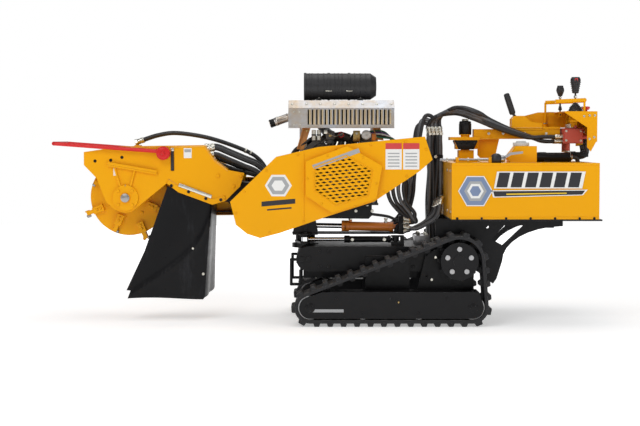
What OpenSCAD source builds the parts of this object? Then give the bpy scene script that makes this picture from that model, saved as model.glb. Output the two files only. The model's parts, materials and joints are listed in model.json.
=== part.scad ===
// Tracked stump grinder with a swinging cutter boom.
// Frame: X runs from the cutter (-X) to the operator (+X), Y across the machine, Z up.
// The origin is on the ground, midway between the tracks and at the middle of their footprint.

/* [Tracks] */
// Overall width over both tracks
machine_w = 902; // [896:1:920]
// Width of one rubber track
track_w = 180; // [174:1:182]
// Thickness of the rubber belt without its lugs
belt_t = 20; // [18:1:22]
// Height of the lugs
lug_h = 17; // [12:1:18]
// Nominal distance between lugs
lug_pitch = 72; // [60:1:84]
// Distance from the front idler to the rear idler
idler_span = 868; // [860:1:880]
// Radius of the belt's inside around an idler
idler_r = 64; // [62:1:66]
// Radius of the belt's inside around the drive sprocket
sprocket_r = 118; // [114:1:120]
// Height of the drive sprocket's axle
sprocket_z = 349; // [345:1:355]

/* [Chassis] */
// Underside of the chassis box
chassis_low = 278; // [274:1:282]
// Top of the chassis box
chassis_top = 414; // [410:1:416]
// Half the width of the chassis box
chassis_half_w = 240; // [236:1:240]
// Distance of the kingpin in front of the origin
kingpin_x = -460; // [-462:1:-458]

/* [Tank housing] */
// Left end of the tank housing
tank_x0 = 321; // [321:1:330]
// Length of the tank housing
tank_l = 784; // [760:1:790]
// Width of the tank housing
tank_w = 880; // [860:1:886]
// Height of the tank housing
tank_h = 300; // [290:1:310]
// Top of the platform under the tank housing
platform_z = 573; // [570:1:576]

/* [Boom and cutter] */
// Height of the boom's lift pivot
lift_pivot_z = 640; // [638:1:642]
// Radius of the cutter disc
disc_r = 215; // [205:1:220]
// Thickness of the cutter disc
disc_t = 16; // [12:1:20]
// Radius swept by the tooth tips
tip_r = 262; // [258:1:264]
// Number of teeth on each face of the disc
teeth = 8; // [6:2:12]

/* [Belt drive] */
// Radius of the engine's drive pulley
engine_pulley_r = 95; // [90:1:97]
// Radius of the near pulley on the jackshaft
jack_pulley_r = 108; // [100:1:110]
// Radius of the pump's pulley
pump_pulley_r = 38; // [34:1:39]
// Radius of the far pulley on the jackshaft
jack_far_r = 80; // [75:1:85]
// Radius of the pulley on the cutter shaft
cutter_pulley_r = 95; // [90:1:98]

/* [Hidden] */
$fn = 64;
fit = 0.1;          // radial running clearance
track_out = machine_w / 2;
track_in = track_out - track_w;
track_mid = (track_out + track_in) / 2;
neutral = 8;        // depth of the belt's cords below its inside
idler_z = idler_r + belt_t + lug_h;
idler_front_x = 3 - idler_span / 2;
idler_rear_x = 3 + idler_span / 2;
sprocket_x = idler_rear_x - 72;
sprocket_teeth = 11;
roller_r = 35;
roller_x = [-150, 150];
frame_gap = 7;      // the track frame's plates stand this far inside the belt's edges
frame_t = 8;
frame_top = 185;

tank_x1 = tank_x0 + tank_l;
tank_top = platform_z + tank_h;
tank_y = tank_w / 2;
sheet = 4;
post_x = 435;
arm_z = 1000;

base_z = 470;       // underside of the swing frame's base plate
base_t = 10;
ear_y = 100;
lift_eye_z = lift_pivot_z - 122;
lift_rear_x = 60;
lift_rear_z = 508;
lift_cyl_y = -30;
swing_eye_y = -150;
swing_cyl_y = -143;
swing_cyl_z = 448;
swing_rear_x = 40;

beam_y = 134;
beam_t = 12;
deck_z = 640;
deck_t = 10;
head_near_y = -208;
head_far_y = beam_y + beam_t;
head_t = 10;
wheel_x = -1441;
wheel_z = 679;
wheel_y = -50;
cutter_shaft_r = 25;
first_tooth = 158;  // turn of the first tooth
inner_tooth_step = 45;
jack_x = -662;
jack_z = 673;
jack_shaft_r = 22.5;
crank_x = -255;
crank_z = 775;
pump_x = 115;
pump_z = 925;
guard_y = -400;
guard_back_y = -334;
far_belt_y = 170;
far_cover_y = head_far_y + head_t;
belt_th = 9;
bar_hub_x = -1231;
bar_hub_z = 923;

yellow = "#F6AE10";
black = "#1C1C1E";
rubber = "#151515";
steel = "#9A9DA1";
silver = "#C9CCCE";
red = "#C8201C";

// ---------------------------------------------------------------- helpers

// An outline given in X and Z, as a slab that starts at y and is t thick
module slab(y, t) translate([0, y + t, 0]) rotate([90, 0, 0]) linear_extrude(t) children();

// An outline given in Y and Z, as a bar that starts at x and is l long
module bar_x(x, l) translate([x, 0, 0]) rotate([90, 0, 90]) linear_extrude(l) children();

// A rod along Y from y0 to y1
module rod_y(x, z, y0, y1, r) translate([x, y0, z]) rotate([-90, 0, 0]) cylinder(h = y1 - y0, r = r);

// A rod along X from x0 to x1
module rod_x(y, z, x0, x1, r) translate([x0, y, z]) rotate([0, 90, 0]) cylinder(h = x1 - x0, r = r);

// A straight round bar between two points
module bar(a, b, r) {
    v = b - a;
    translate(a) rotate([0, acos(v.z / norm(v)), atan2(v.y, v.x)]) cylinder(h = norm(v), r = r);
}

// A bar bent through a list of points, with a slightly larger ball at each bend
module bent_bar(points, r) {
    for (i = [0 : len(points) - 2]) bar(points[i], points[i + 1], r);
    for (i = [1 : len(points) - 2]) translate(points[i]) sphere(r * 1.06);
}

// A box from one corner to the opposite one
module block(a, b) translate(a) cube(b - a);

module both_sides() {
    children();
    mirror([0, 1, 0]) children();
}

// A hexagon bolt head that faces -Y
module bolt_y(x, z, y, across, h) translate([x, y, z]) rotate([90, 0, 0]) cylinder(h = h, d = across, $fn = 6);

// ---------------------------------------------------------------- tracks

// The three wheels that the belt runs around, as [x, z, radius of the belt's inside]
loop = [[idler_front_x, idler_z, idler_r], [idler_rear_x, idler_z, idler_r],
    [sprocket_x, sprocket_z, sprocket_r]];
function gap(i) = norm([loop[(i + 1) % 3].x - loop[i].x, loop[(i + 1) % 3].y - loop[i].y]);
// Direction of the outward normal of the straight run that leaves wheel i
function run_dir(i) = let (a = loop[i], b = loop[(i + 1) % 3],
    n = atan2(b.y - a.y, b.x - a.x) - acos((a.z - b.z) / gap(i))) (n + 450) % 360 - 90;
dirs = [for (i = [0 : 2]) run_dir(i)];
run_l = [for (i = [0 : 2]) sqrt(pow(gap(i), 2) - pow(loop[i].z - loop[(i + 1) % 3].z, 2))];
turn = [for (i = [0 : 2]) i < 2 ? dirs[i + 1] - dirs[i] : dirs[0] + 360 - dirs[2]];
arc_l = [for (i = [0 : 2]) turn[i] * PI / 180 * (loop[(i + 1) % 3].z + neutral)];
belt_l = run_l[0] + run_l[1] + run_l[2] + arc_l[0] + arc_l[1] + arc_l[2];
lugs = round(belt_l / lug_pitch);
pitch = belt_l / lugs;

// The point at distance s along the belt, h outside its inner surface
function on_belt(s, h, i = 0) = let (a = loop[i], b = loop[(i + 1) % 3], n = dirs[i])
    i == 2 || s <= run_l[i] + arc_l[i]
    ? (s <= run_l[i]
        ? [a.x + (a.z + h) * cos(n) - s * sin(n), a.y + (a.z + h) * sin(n) + s * cos(n)]
        : let (t = n + (s - run_l[i]) / (b.z + neutral) * 180 / PI)
          [b.x + (b.z + h) * cos(t), b.y + (b.z + h) * sin(t)])
    : on_belt(s - run_l[i] - arc_l[i], h, i + 1);

// One lug's side view, as [share of the pitch, share of the lug's height]
lug_profile = [[0, 0], [0.14, 0], [0.27, 0], [0.33, 1], [0.5, 1], [0.67, 1], [0.73, 0], [0.86, 0]];

module track_belt() {
    outer = [for (k = [0 : lugs - 1]) for (q = lug_profile)
        on_belt((k + q.x) * pitch, belt_t + q.y * lug_h)];
    step = 7.5;
    inner = [for (i = [0 : 2]) let (b = loop[(i + 1) % 3], n = ceil(turn[i] / step))
        for (k = [0 : n]) let (t = dirs[i] + turn[i] * k / n)
        [b.x + b.z * cos(t), b.y + b.z * sin(t)]];
    color(rubber) slab(-track_out, track_w) polygon(
        points = concat(outer, inner),
        paths = [[for (i = [0 : len(outer) - 1]) i], [for (i = [0 : len(inner) - 1]) len(outer) + i]]);
}

module frame_outline() hull() {
    for (x = [idler_front_x, idler_rear_x]) translate([x, idler_z]) circle(idler_r - 6);
    translate([-365, frame_top - 5]) square([835, 5]);
}

module track_frame() {
    y0 = -track_out + frame_gap;
    y1 = -track_in - frame_gap;
    color(black) difference() {
        union() {
            slab(y0, frame_t) frame_outline();
            slab(y1 - frame_t, frame_t) {
                frame_outline();
                hull() {
                    translate([sprocket_x, sprocket_z]) circle(100);
                    translate([150, 170]) square([300, 10]);
                    translate([195, 360]) square([10, 12]);
                }
            }
            block([-365, y0, frame_top - frame_t], [470, y1, frame_top]);
            for (x = [-290, 0, 300]) rod_y(x, 150, y0, y1, 18);
            for (x = [idler_front_x, idler_rear_x]) rod_y(x, idler_z, y0 + 1, y1 - 1, 15);
            for (x = roller_x) rod_y(x, idler_z - idler_r + roller_r + 0.5, y0 + 1, y1 - 1, 10);
            // box that carries the track frame on the chassis
            block([-100, y1 - 2, 95], [80, -track_in + 8, 170]);
            block([-129, -track_in + 3, 90], [109, -chassis_half_w, 360]);
        }
        rod_y(sprocket_x, sprocket_z, y1 - 10, y1 + 1, 32);
        for (p = [[201, 372], [201, 255]]) rod_y(p.x, p.y, y1 - 10, y1 + 1, 6);
    }
}

module drive_motor() {
    y1 = -track_in - frame_gap;
    color(steel) {
        rod_y(sprocket_x, sprocket_z, y1, y1 + 14, 76);
        rod_y(sprocket_x, sprocket_z, y1 + 14, y1 + 90, 58);
        rod_y(sprocket_x, sprocket_z, y1 - 50, y1, 30);
    }
}

module sprocket() {
    y1 = -track_in - frame_gap;
    root = sprocket_r - 28;
    tip = sprocket_r - 5;
    step = 360 / sprocket_teeth;
    color(black) difference() {
        union() {
            rod_y(sprocket_x, sprocket_z, -track_out + 19, y1 - 18, 80);
            slab(-track_mid - 12, 24) translate([sprocket_x, sprocket_z])
                polygon([for (k = [0 : sprocket_teeth - 1])
                    for (q = [[0, root], [0.22, root], [0.4, tip], [0.6, tip], [0.78, root]])
                    q.y * [cos((k + q.x) * step), sin((k + q.x) * step)]]);
            rod_y(sprocket_x, sprocket_z, -track_out + 9, -track_out + 19, 100);
            rod_y(sprocket_x, sprocket_z, -track_out + 4, -track_out + 9, 34);
            for (k = [0 : 4]) bolt_y(sprocket_x + 66 * cos(72 * k + 18),
                sprocket_z + 66 * sin(72 * k + 18), -track_out + 10, 26, 9);
        }
        rod_y(sprocket_x, sprocket_z, y1 - 54, y1 - 10, 30 + fit);
    }
}

// A grooved wheel on a fixed pin, for the idlers and the rollers
module track_wheel(x, z, r, pin_r) {
    y0 = -track_out + frame_gap + frame_t + 6;
    y1 = -track_in - frame_gap - frame_t - 6;
    rim = 44;
    color(steel) difference() {
        union() {
            rod_y(x, z, y0, y0 + rim, r);
            rod_y(x, z, y1 - rim, y1, r);
            rod_y(x, z, y0, y1, r * 0.6);
        }
        rod_y(x, z, y0 - 1, y1 + 1, pin_r + fit);
    }
}

module idler(x) track_wheel(x, idler_z, idler_r - 0.5, 15);
module roller(x) track_wheel(x, idler_z - idler_r + roller_r + 0.5, roller_r, 10);

// ---------------------------------------------------------------- chassis

module box_outline(inset) {
    r = (chassis_top - chassis_low) / 2;
    translate([-440, chassis_low + r]) circle(r - inset);
    translate([-440, chassis_low + inset]) square([740 - inset, 2 * (r - inset)]);
}

module chassis_frame() {
    color(black) {
        difference() {
            union() {
                slab(-chassis_half_w, 2 * chassis_half_w) box_outline(0);
                // belly tray
                block([-470, -150, 234], [180, 150, chassis_low + 20]);
                // seat of the kingpin
                translate([kingpin_x, 0, chassis_top - 20]) cylinder(h = 24, r = 75);
                // clevis of the swing cylinder
                block([swing_rear_x - 25, swing_cyl_y - 25, chassis_top - 5],
                    [swing_rear_x + 45, swing_cyl_y + 25, 434]);
                block([swing_rear_x - 25, swing_cyl_y - 25, 461],
                    [swing_rear_x + 45, swing_cyl_y + 25, 469]);
                block([swing_rear_x + 25, swing_cyl_y - 25, 430],
                    [swing_rear_x + 45, swing_cyl_y + 25, 465]);
                translate([swing_rear_x, swing_cyl_y, 430]) cylinder(h = 35, r = 10);
            }
            difference() {
                slab(-chassis_half_w + 12, 2 * chassis_half_w - 24) box_outline(12);
                translate([kingpin_x, 0, chassis_low]) cylinder(h = 200, r = 75);
            }
            block([-458, -138, 246], [168, 138, chassis_low + 13]);
            for (x = [-300, -100, 100]) translate([x, 0, 230]) cylinder(h = 30, r = 45);
            for (y = [-190, 190]) translate([-200, y, chassis_low - 1]) cylinder(h = 30, r = 30);
        }
        both_sides() for (x = [-478, -440]) bolt_y(x, 346, -chassis_half_w, 30, 12);
    }
}

module tie_down_loops() color(black) both_sides() translate([0, -190, 0]) {
    bar([-508, 0, 339], [-536, 0, 339], 8);
    bar([-536, 0, 339], [-536, 0, 203], 8);
    bar([-536, 0, 203], [-485, 0, 203], 8);
    bar([-485, 0, 203], [-485, 0, 283], 8);
    for (p = [[-536, 0, 339], [-536, 0, 203], [-485, 0, 203]]) translate(p) sphere(8.5);
}

module rear_support_plates() color(black) both_sides() slab(-chassis_half_w - 12, 12) difference() {
    polygon(concat([[250, platform_z - 8], [944, platform_z - 8], [944, 525]],
        // hollow curve along the rear edge
        [for (a = [88 : -11 : 0]) [944 - 329 * cos(a), 525 - 189 * (1 - sin(a))]],
        [[585, 240], [566, 212], [520, 240], [430, 330], [250, 330]]));
    polygon([[556, 455], [626, 530], [728, 530], [615, 423]]);
    translate([534, 522]) circle(8);
    translate([sprocket_x, sprocket_z]) circle(80);
}

module platform() color(black) {
    block([tank_x0, -445, platform_z - 8], [1121, 445, platform_z]);
    for (x = [480, 860]) block([x, -228, platform_z - 58], [x + 40, 228, platform_z - 8]);
}

module kingpin() color(steel) {
    translate([kingpin_x, 0, chassis_top + 4]) cylinder(h = 62.5, r = 30);
    translate([kingpin_x, 0, base_z + base_t + 0.5]) cylinder(h = 9, r = 45);
}

// ---------------------------------------------------------------- tank housing

module tank_housing() {
    color(yellow) difference() {
        block([tank_x0, -tank_y, platform_z], [tank_x1, tank_y, tank_top]);
        block([tank_x0 + sheet, -tank_y + sheet, platform_z - 1],
            [tank_x1 - sheet, tank_y - sheet, tank_top - sheet]);
        translate([706, -300, tank_top - 10]) cylinder(h = 20, r = 36);
    }
    // guides of the lock rod
    color(black) for (x = [345, 520]) difference() {
        block([x, -404, tank_top], [x + 16, -376, tank_top + 30]);
        rod_x(-390, tank_top + 17, x - 1, x + 17, 6 + fit);
    }
}

module fuel_tank() color(black) {
    block([560, -425, platform_z], [1085, -60, tank_top - 60]);
    translate([706, -300, tank_top - 62]) cylinder(h = 155, r = 30);
}

module hydraulic_tank() color(steel) {
    block([560, 60, platform_z], [1085, 425, tank_top - 40]);
    translate([900, 240, tank_top - 40]) cylinder(h = 25, r = 40);
}

module battery() color(black) {
    block([345, -410, platform_z], [520, -240, platform_z + 195]);
    for (x = [375, 490]) translate([x, -380, platform_z + 195]) cylinder(h = 18, r = 9);
}

module filler_box() color(yellow) difference() {
    slab(-360, 120) polygon([[640, tank_top], [783, tank_top], [783, tank_top + 89],
        [672, tank_top + 89], [626, tank_top + 30]]);
    slab(-360 + sheet, 120 - 2 * sheet) polygon([[644, tank_top - 1], [783 - sheet, tank_top - 1],
        [783 - sheet, tank_top + 85], [674, tank_top + 85], [631, tank_top + 29]]);
    translate([706, -300, tank_top + 80]) cylinder(h = 12, r = 30.5);
}

module fuel_cap() color(silver) difference() {
    union() {
        translate([706, -300, tank_top + 90]) cylinder(h = 14, r = 42);
        translate([706, -300, tank_top + 104]) cylinder(h = 6, r = 30);
    }
    translate([706, -300, tank_top + 80]) cylinder(h = 14, r = 30 + fit);
}

module return_filter() color(black) {
    rod_x(-100, tank_top + 26, 788, 1010, 25);
    rod_x(-100, tank_top + 26, 800, 812, 26);
    block([860, -125, tank_top], [890, -75, tank_top + 12]);
}

module lock_rod() {
    z = tank_top + 17;
    color(silver) rod_x(-390, z, 262, 585, 6);
    color(black) {
        translate([574, -390, z + 4]) rotate([0, 90, 0]) {
            cylinder(h = 10, r1 = 12, r2 = 19);
            translate([0, 0, 10]) cylinder(h = 16, r = 19);
            translate([0, 0, 26]) cylinder(h = 10, r1 = 19, r2 = 12);
        }
        slab(-394, 8) polygon([[592, z - 4], [640, z + 24], [704, z + 33], [704, z + 45], [636, z + 38],
            [592, z + 12]]);
    }
}

// ---------------------------------------------------------------- control station

module station_post() {
    color(yellow) {
        block([396, -42, tank_top], [480, 42, 938]);
        block([376, -62, tank_top], [500, 62, tank_top + 10]);
    }
    color(steel) translate([post_x, 0, 936]) cylinder(h = 112, r = 25);
    color(black) {
        for (x = [386, 490], y = [-52, 52]) translate([x, y, tank_top + 9]) cylinder(h = 8, d = 16, $fn = 6);
        translate([post_x, 0, 1022]) cylinder(h = 73, r = 33);
    }
}

module station_arm() {
    color(black) difference() {
        bar_x(379, 124) polygon([[-40, 944], [40, 944], [62, 994], [-62, 994]]);
        translate([post_x, 0, 940]) cylinder(h = 60, r = 25 + fit);
        for (s = [-1, 1]) translate([post_x, 0, 940]) rotate([0, s * 28, 0])
            translate([s * 62 - 30, -70, -40]) cube([60, 140, 60]);
    }
    color(yellow) difference() {
        union() {
            block([346, -60, 994], [514, 60, 1011]);
            block([480, -40, arm_z], [960, 40, arm_z + 55]);
            slab(-8, 16) polygon([[505, 1005], [626, 1005], [604, 905], [590, 893], [520, 893], [505, 910]]);
            slab(-45, 90) polygon([[690, arm_z + 50], [690, 1112], [706, 1129], [760, 1129],
                [800, 1095], [860, 1088], [860, arm_z + 50]]);
        }
        translate([post_x, 0, 990]) cylinder(h = 30, r = 25 + fit);
        slab(-10, 20) polygon([[685, 1082], [685, 1140], [790, 1140], [790, 1082]]);
        rod_y(737, 1105, -30, 30, 8);
    }
}

near_side = [[950, 1147], [1132, 1150], [1126, 984], [1098, 932], [1077, 956], [1077, 1063]];
far_side = [[780, 1064], [780, 1130], [860, 1151], [1130, 1151], [1130, 960], [1077, 960], [1077, 1064]];
stick_x = 1024;
stick_y = -150;
stick_z = 1148;
hand_guard_x = 1064;

module console_body() color(yellow) {
    difference() {
        union() {
            slab(-222, 4) polygon(near_side);
            slab(122, 4) polygon(far_side);
            block([1126, -222, 984], [1132, 126, 1150]);
            block([950, -222, 1147], [1130, 126, 1151]);
            block([862, -45, arm_z + 55], [960, 126, arm_z + 68]);
            // posts of the hand guard
            for (y = [105, -205]) translate([hand_guard_x, y, 1149]) cylinder(h = 57, r = 6);
            translate([900, 105, arm_z + 60]) cylinder(h = 146, r = 6);
            translate([900, 105, arm_z + 60]) cylinder(h = 24, r = 10);
            // hangers of the valve bank
            for (y = [-70, 70]) block([1010, y, 1060], [1050, y + 6, 1148]);
        }
        translate([stick_x, stick_y, 1140]) cylinder(h = 20, r = 40);
        block([962, 44, 1140], [988, 64, 1160]);
        for (p = [[1100, -60], [1100, 60]]) translate([p.x, p.y, 1140]) cylinder(h = 20, r = 9.5);
    }
    bent_bar([[900, 105, 1206], [hand_guard_x, 105, 1212], [hand_guard_x, -205, 1212],
        [905, -205, 1204]], 11);
    // cheeks that carry the joystick's gimbal
    difference() {
        for (s = [-1, 1]) block([stick_x + s * 29 - 3, stick_y - 6, 1100],
            [stick_x + s * 29 + 3, stick_y + 6, 1156]);
        rod_x(stick_y, stick_z, stick_x - 40, stick_x + 40, 3 + fit);
    }
    block([stick_x - 38, -218, 1096], [stick_x + 38, stick_y + 10, 1100]);
    // fork of the boom stick
    difference() {
        for (y = [38, 63]) block([967, y, 1126], [983, y + 7, 1147]);
        rod_y(975, 1136, 30, 80, 4 + fit);
    }
}

module valve_bank() {
    color(red) {
        for (k = [0 : 4]) block([970, -85 + 36 * k, 975], [1080, -85 + 36 * k + 34, 1060]);
        block([975, -85, 985], [1075, 90, 1050]);
    }
    color(steel) {
        block([975, -99, 980], [1075, -85, 1055]);
        for (k = [0 : 4]) rod_x(-68 + 36 * k, 1012, 1079, 1118, 12);
        for (k = [0 : 4]) translate([1000, -68 + 36 * k, 936]) cylinder(h = 40, r = 11);
    }
}

module joystick_gimbal() color(steel) {
    difference() {
        translate([stick_x, stick_y, stick_z - 5]) cylinder(h = 10, r = 22);
        translate([stick_x, stick_y, stick_z - 6]) cylinder(h = 12, r = 15);
        rod_y(stick_x, stick_z, stick_y - 30, stick_y + 30, 3 + fit);
    }
    for (s = [-1, 1]) rod_x(stick_y, stick_z, stick_x + s * 26.5 - 5, stick_x + s * 26.5 + 5, 3);
}

module joystick() {
    color(steel) {
        translate([stick_x, stick_y, stick_z - 12]) cylinder(h = 130, r = 5);
        rod_y(stick_x, stick_z, stick_y - 21, stick_y + 21, 3);
    }
    color(rubber) {
        translate([stick_x, stick_y, stick_z]) difference() {
            sphere(38);
            sphere(35.5);
            translate([-50, -50, -60]) cube([100, 100, 58]);
        }
        translate([stick_x, stick_y, stick_z + 30]) cylinder(h = 20, r1 = 22, r2 = 9);
        translate([stick_x, stick_y, stick_z + 105]) cylinder(h = 60, r1 = 17, r2 = 26);
        translate([stick_x, stick_y, stick_z + 165]) cylinder(h = 26, r1 = 26, r2 = 22);
    }
}

module boom_stick() {
    color(steel) {
        translate([975, 54, 1128]) cylinder(h = 125, r = 5);
        rod_y(975, 1136, 39, 69, 4);
    }
    color(rubber) {
        translate([975, 54, 1242]) cylinder(h = 30, r1 = 12, r2 = 22);
        translate([975, 54, 1272]) cylinder(h = 28, r1 = 22, r2 = 16);
    }
}

module travel_lever() {
    color(steel) {
        rod_y(737, 1105, -28, 28, 8 - fit);
        bar([737, 0, 1105], [700, 0, 1142], 7);
    }
    color(rubber) bar([702, 0, 1138], [664, 0, 1252], 15);
}

module stop_button() {
    color(red) translate([1100, -60, 1162]) cylinder(h = 14, r1 = 17, r2 = 20);
    color(red) translate([1100, -60, 1126]) cylinder(h = 37, r = 8);
}

module key_switch() color(steel) {
    translate([1100, 60, 1128]) cylinder(h = 27, r = 8);
    translate([1098.5, 50, 1154]) cube([3, 20, 24]);
}

// ---------------------------------------------------------------- swing frame and cylinders

module swing_frame() color(black) {
    difference() {
        union() {
            translate([kingpin_x, 0, base_z]) linear_extrude(base_t) {
                hull() {
                    circle(75);
                    translate([0, swing_eye_y]) circle(28);
                }
                translate([-70, -125]) square([140, 250]);
                translate([0, -60]) square([lift_rear_x + 25 - kingpin_x, 120]);
            }
            translate([kingpin_x, 0, 424]) linear_extrude(10) hull() {
                circle(60);
                translate([0, swing_eye_y]) circle(28);
            }
            translate([kingpin_x, 0, 424]) cylinder(h = base_z - 420, r = 55);
            // ears of the lift pivot
            for (y = [-ear_y - 12, ear_y]) slab(y, 12) hull() {
                translate([kingpin_x, lift_pivot_z]) circle(35);
                translate([kingpin_x - 70, base_z + base_t - 2]) square([140, 2]);
            }
            for (y = [-ear_y - 24, ear_y + 10]) block([kingpin_x - 8, y, base_z + 5],
                [kingpin_x + 8, y + 14, 590]);
            // lugs of the lift cylinder
            for (y = [lift_cyl_y - 27, lift_cyl_y + 15]) slab(y, 12) hull() {
                translate([lift_rear_x, lift_rear_z]) circle(18);
                translate([lift_rear_x - 25, base_z + base_t - 2]) square([50, 2]);
            }
            rod_y(lift_rear_x, lift_rear_z, lift_cyl_y - 32, lift_cyl_y + 32, 10);
        }
        translate([kingpin_x, 0, 400]) cylinder(h = 100, r = 30 + fit);
        rod_y(kingpin_x, lift_pivot_z, -ear_y - 30, ear_y + 30, 20 + fit);
    }
    // heads of the swing rod's pin
    for (z = [base_z + base_t, 418]) translate([kingpin_x, swing_eye_y, z]) cylinder(h = 6, r = 14);
}

module lift_pin() color(steel) rod_y(kingpin_x, lift_pivot_z, -118, 118, 20);

// A hydraulic cylinder's body, from its rear eye at the origin towards -X
module cylinder_body(l, r, rod, eye, pin) difference() {
    union() {
        rod_x(0, 0, -l, -34, r);
        rod_x(0, 0, -40, 0, r * 0.55);
        rod_y(0, 0, -eye / 2, eye / 2, pin + 9);
        rod_x(0, 0, -l, -l + 22, r + 3);
        translate([-l + 40, 0, r - 3]) cylinder(h = 14, r = 9);
    }
    rod_y(0, 0, -eye, eye, pin + fit);
    rod_x(0, 0, -l + 20, -50, r - 5);
    rod_x(0, 0, -l - 1, -l + 21, rod + fit);
}

// Its rod, from the front eye at -reach back to the piston
module cylinder_rod(reach, rod, piston, back, eye, pin) {
    difference() {
        union() {
            rod_x(0, 0, -reach, -back, rod);
            rod_y(-reach, 0, -eye / 2, eye / 2, pin + 10);
            rod_x(0, 0, -back - 20, -back, piston);
        }
        rod_y(-reach, 0, -eye, eye, pin + fit);
    }
}

lift_reach = norm([lift_rear_x - kingpin_x, lift_eye_z - lift_rear_z]);
lift_tilt = atan((lift_eye_z - lift_rear_z) / (lift_rear_x - kingpin_x));

module lift_frame() translate([lift_rear_x, lift_cyl_y, lift_rear_z]) rotate([0, lift_tilt, 0]) children();
module lift_barrel() color("#E8862A") lift_frame() cylinder_body(308, 25, 14, 26, 10);
module lift_rod() color(silver) lift_frame() cylinder_rod(lift_reach, 14, 19.5, 230, 26, 10);

module swing_axis() translate([swing_rear_x, swing_cyl_y, swing_cyl_z]) rotate([90, 0, 0]) children();
module swing_barrel() color(black) swing_axis() cylinder_body(280, 17, 11, 22, 10);
module swing_rod() color(silver) swing_axis()
    cylinder_rod(swing_rear_x - kingpin_x, 11, 11.8, 175, 22, 10);

// ---------------------------------------------------------------- boom

beam_outline = [[-1130, 712], [-967, 652], [-885, 655], [-800, 520], [-756, 475], [-430, 564], [-110, 560],
    [-92, 578], [-92, deck_z], [-400, deck_z + deck_t], [-560, deck_z + 20], [-640, 740], [-860, 770],
    [-960, 800], [-1110, 790]];

module boom_base() color(black) difference() {
    union() {
        both_sides() slab(-beam_y - beam_t, beam_t) polygon(beam_outline);
        // upper and lower skins of the box beam
        slab(-beam_y, 2 * beam_y) {
            polygon([[-1110, 790], [-960, 800], [-860, 770], [-640, 740], [-640, 730], [-860, 760],
                [-960, 790], [-1110, 780]]);
            polygon([[-967, 652], [-885, 655], [-800, 520], [-792, 526], [-880, 665], [-967, 662]]);
        }
        rod_y(-700, 560, -beam_y - 4, beam_y + 4, 30);
        // engine deck
        block([-415, -235, deck_z], [-60, 235, deck_z + deck_t]);
        block([-415, -96, deck_z], [-405, 96, 680]);
        block([-500, -96, 660], [-405, 96, 680]);
        rod_y(kingpin_x, lift_pivot_z, -98, 98, 34);
        // lugs of the lift rod
        for (y = [lift_cyl_y - 26, lift_cyl_y + 16]) slab(y, 10) hull() {
            translate([kingpin_x, lift_pivot_z]) circle(34);
            translate([kingpin_x, lift_eye_z]) circle(24);
        }
        for (y = [lift_cyl_y - 30, lift_cyl_y + 26]) rod_y(kingpin_x, lift_eye_z, y, y + 4, 14);
        // bearing housings of the jackshaft
        both_sides() rod_y(jack_x, jack_z, -beam_y - beam_t - 20, -beam_y - beam_t + 2, 55);
    }
    rod_y(kingpin_x, lift_pivot_z, -100, 100, 20 + fit);
    rod_y(jack_x, jack_z, -200, 200, jack_shaft_r + fit);
}

head_outline = [[-1537, 958], [-1008, 966], [-952, 885], [-881, 831], [-791, 814], [-815, 741],
    [-895, 661], [-967, 641], [-1154, 710], [-1216, 758], [-1402, 607], [-1499, 612], [-1548, 656],
    [-1600, 787], [-1668, 858], [-1668, 929], [-1559, 945]];

module boom_head() color(yellow) difference() {
    union() {
        for (y = [head_near_y, head_far_y]) slab(y, head_t) {
            polygon(head_outline);
            translate([wheel_x, wheel_z]) circle(82);
        }
        // skin over the wheel and down the rear
        slab(head_near_y + head_t - 1, head_far_y - head_near_y - head_t + 2) {
            polygon([[-1537, 958], [-1008, 966], [-1008, 958], [-1537, 950]]);
            polygon([[-1668, 929], [-1559, 945], [-1537, 958], [-1537, 950], [-1559, 937], [-1660, 922],
                [-1660, 875], [-1668, 875]]);
            polygon([[-1008, 966], [-952, 885], [-881, 831], [-887, 824], [-959, 880], [-1013, 958]]);
        }
        // spacer between the near plate and the beam
        block([-1060, head_near_y + 2, 690], [-910, -beam_y - beam_t, 780]);
        // flange stiffener along the near plate's lower edge
        slab(head_near_y - 6, 8) polygon([[-1216, 758], [-1154, 710], [-967, 641], [-895, 661],
            [-905, 690], [-967, 672], [-1146, 738], [-1206, 778]]);
        rod_y(bar_hub_x, bar_hub_z, head_near_y - 16, head_near_y + 2, 14);
        rod_y(bar_hub_x, bar_hub_z, head_far_y + 8, head_far_y + head_t + 20, 14);
        // flanged bearings of the cutter shaft
        rod_y(wheel_x, wheel_z, head_near_y - 12, head_near_y + 1, 70);
        rod_y(wheel_x, wheel_z, head_far_y - 24, head_far_y + 1, 70);
        for (a = [45 : 90 : 315])
            bolt_y(wheel_x + 54 * cos(a), wheel_z + 54 * sin(a), head_near_y - 11, 18, 8);
    }
    rod_y(wheel_x, wheel_z, head_near_y - 30, head_far_y + 30, cutter_shaft_r + fit);
    for (p = [[-1607, 880], [-1521, 884], [-1460, 900]]) rod_y(p.x, p.y, head_near_y - 1, head_near_y + 20, 9);
    block([-1193, head_near_y - 1, 826], [-1175, head_near_y + 20, 950]);
}

module cutter_wheel() color(yellow) {
    rod_y(wheel_x, wheel_z, head_near_y - 26, far_belt_y + 42, cutter_shaft_r);
    rod_y(wheel_x, wheel_z, wheel_y - 42, wheel_y + 42, 60);
    difference() {
        rod_y(wheel_x, wheel_z, wheel_y - disc_t / 2, wheel_y + disc_t / 2, disc_r);
        for (k = [0 : 6]) rod_y(wheel_x + 112 * cos(k * 360 / 7), wheel_z + 112 * sin(k * 360 / 7),
            wheel_y - disc_t, wheel_y + disc_t, 9);
    }
    difference() {
        rod_y(wheel_x, wheel_z, far_belt_y, far_belt_y + 40, cutter_pulley_r);
        for (k = [0 : 4]) rod_y(wheel_x + 60 * cos(72 * k), wheel_z + 60 * sin(72 * k),
            far_belt_y - 1, far_belt_y + 41, 14);
    }
}

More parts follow.
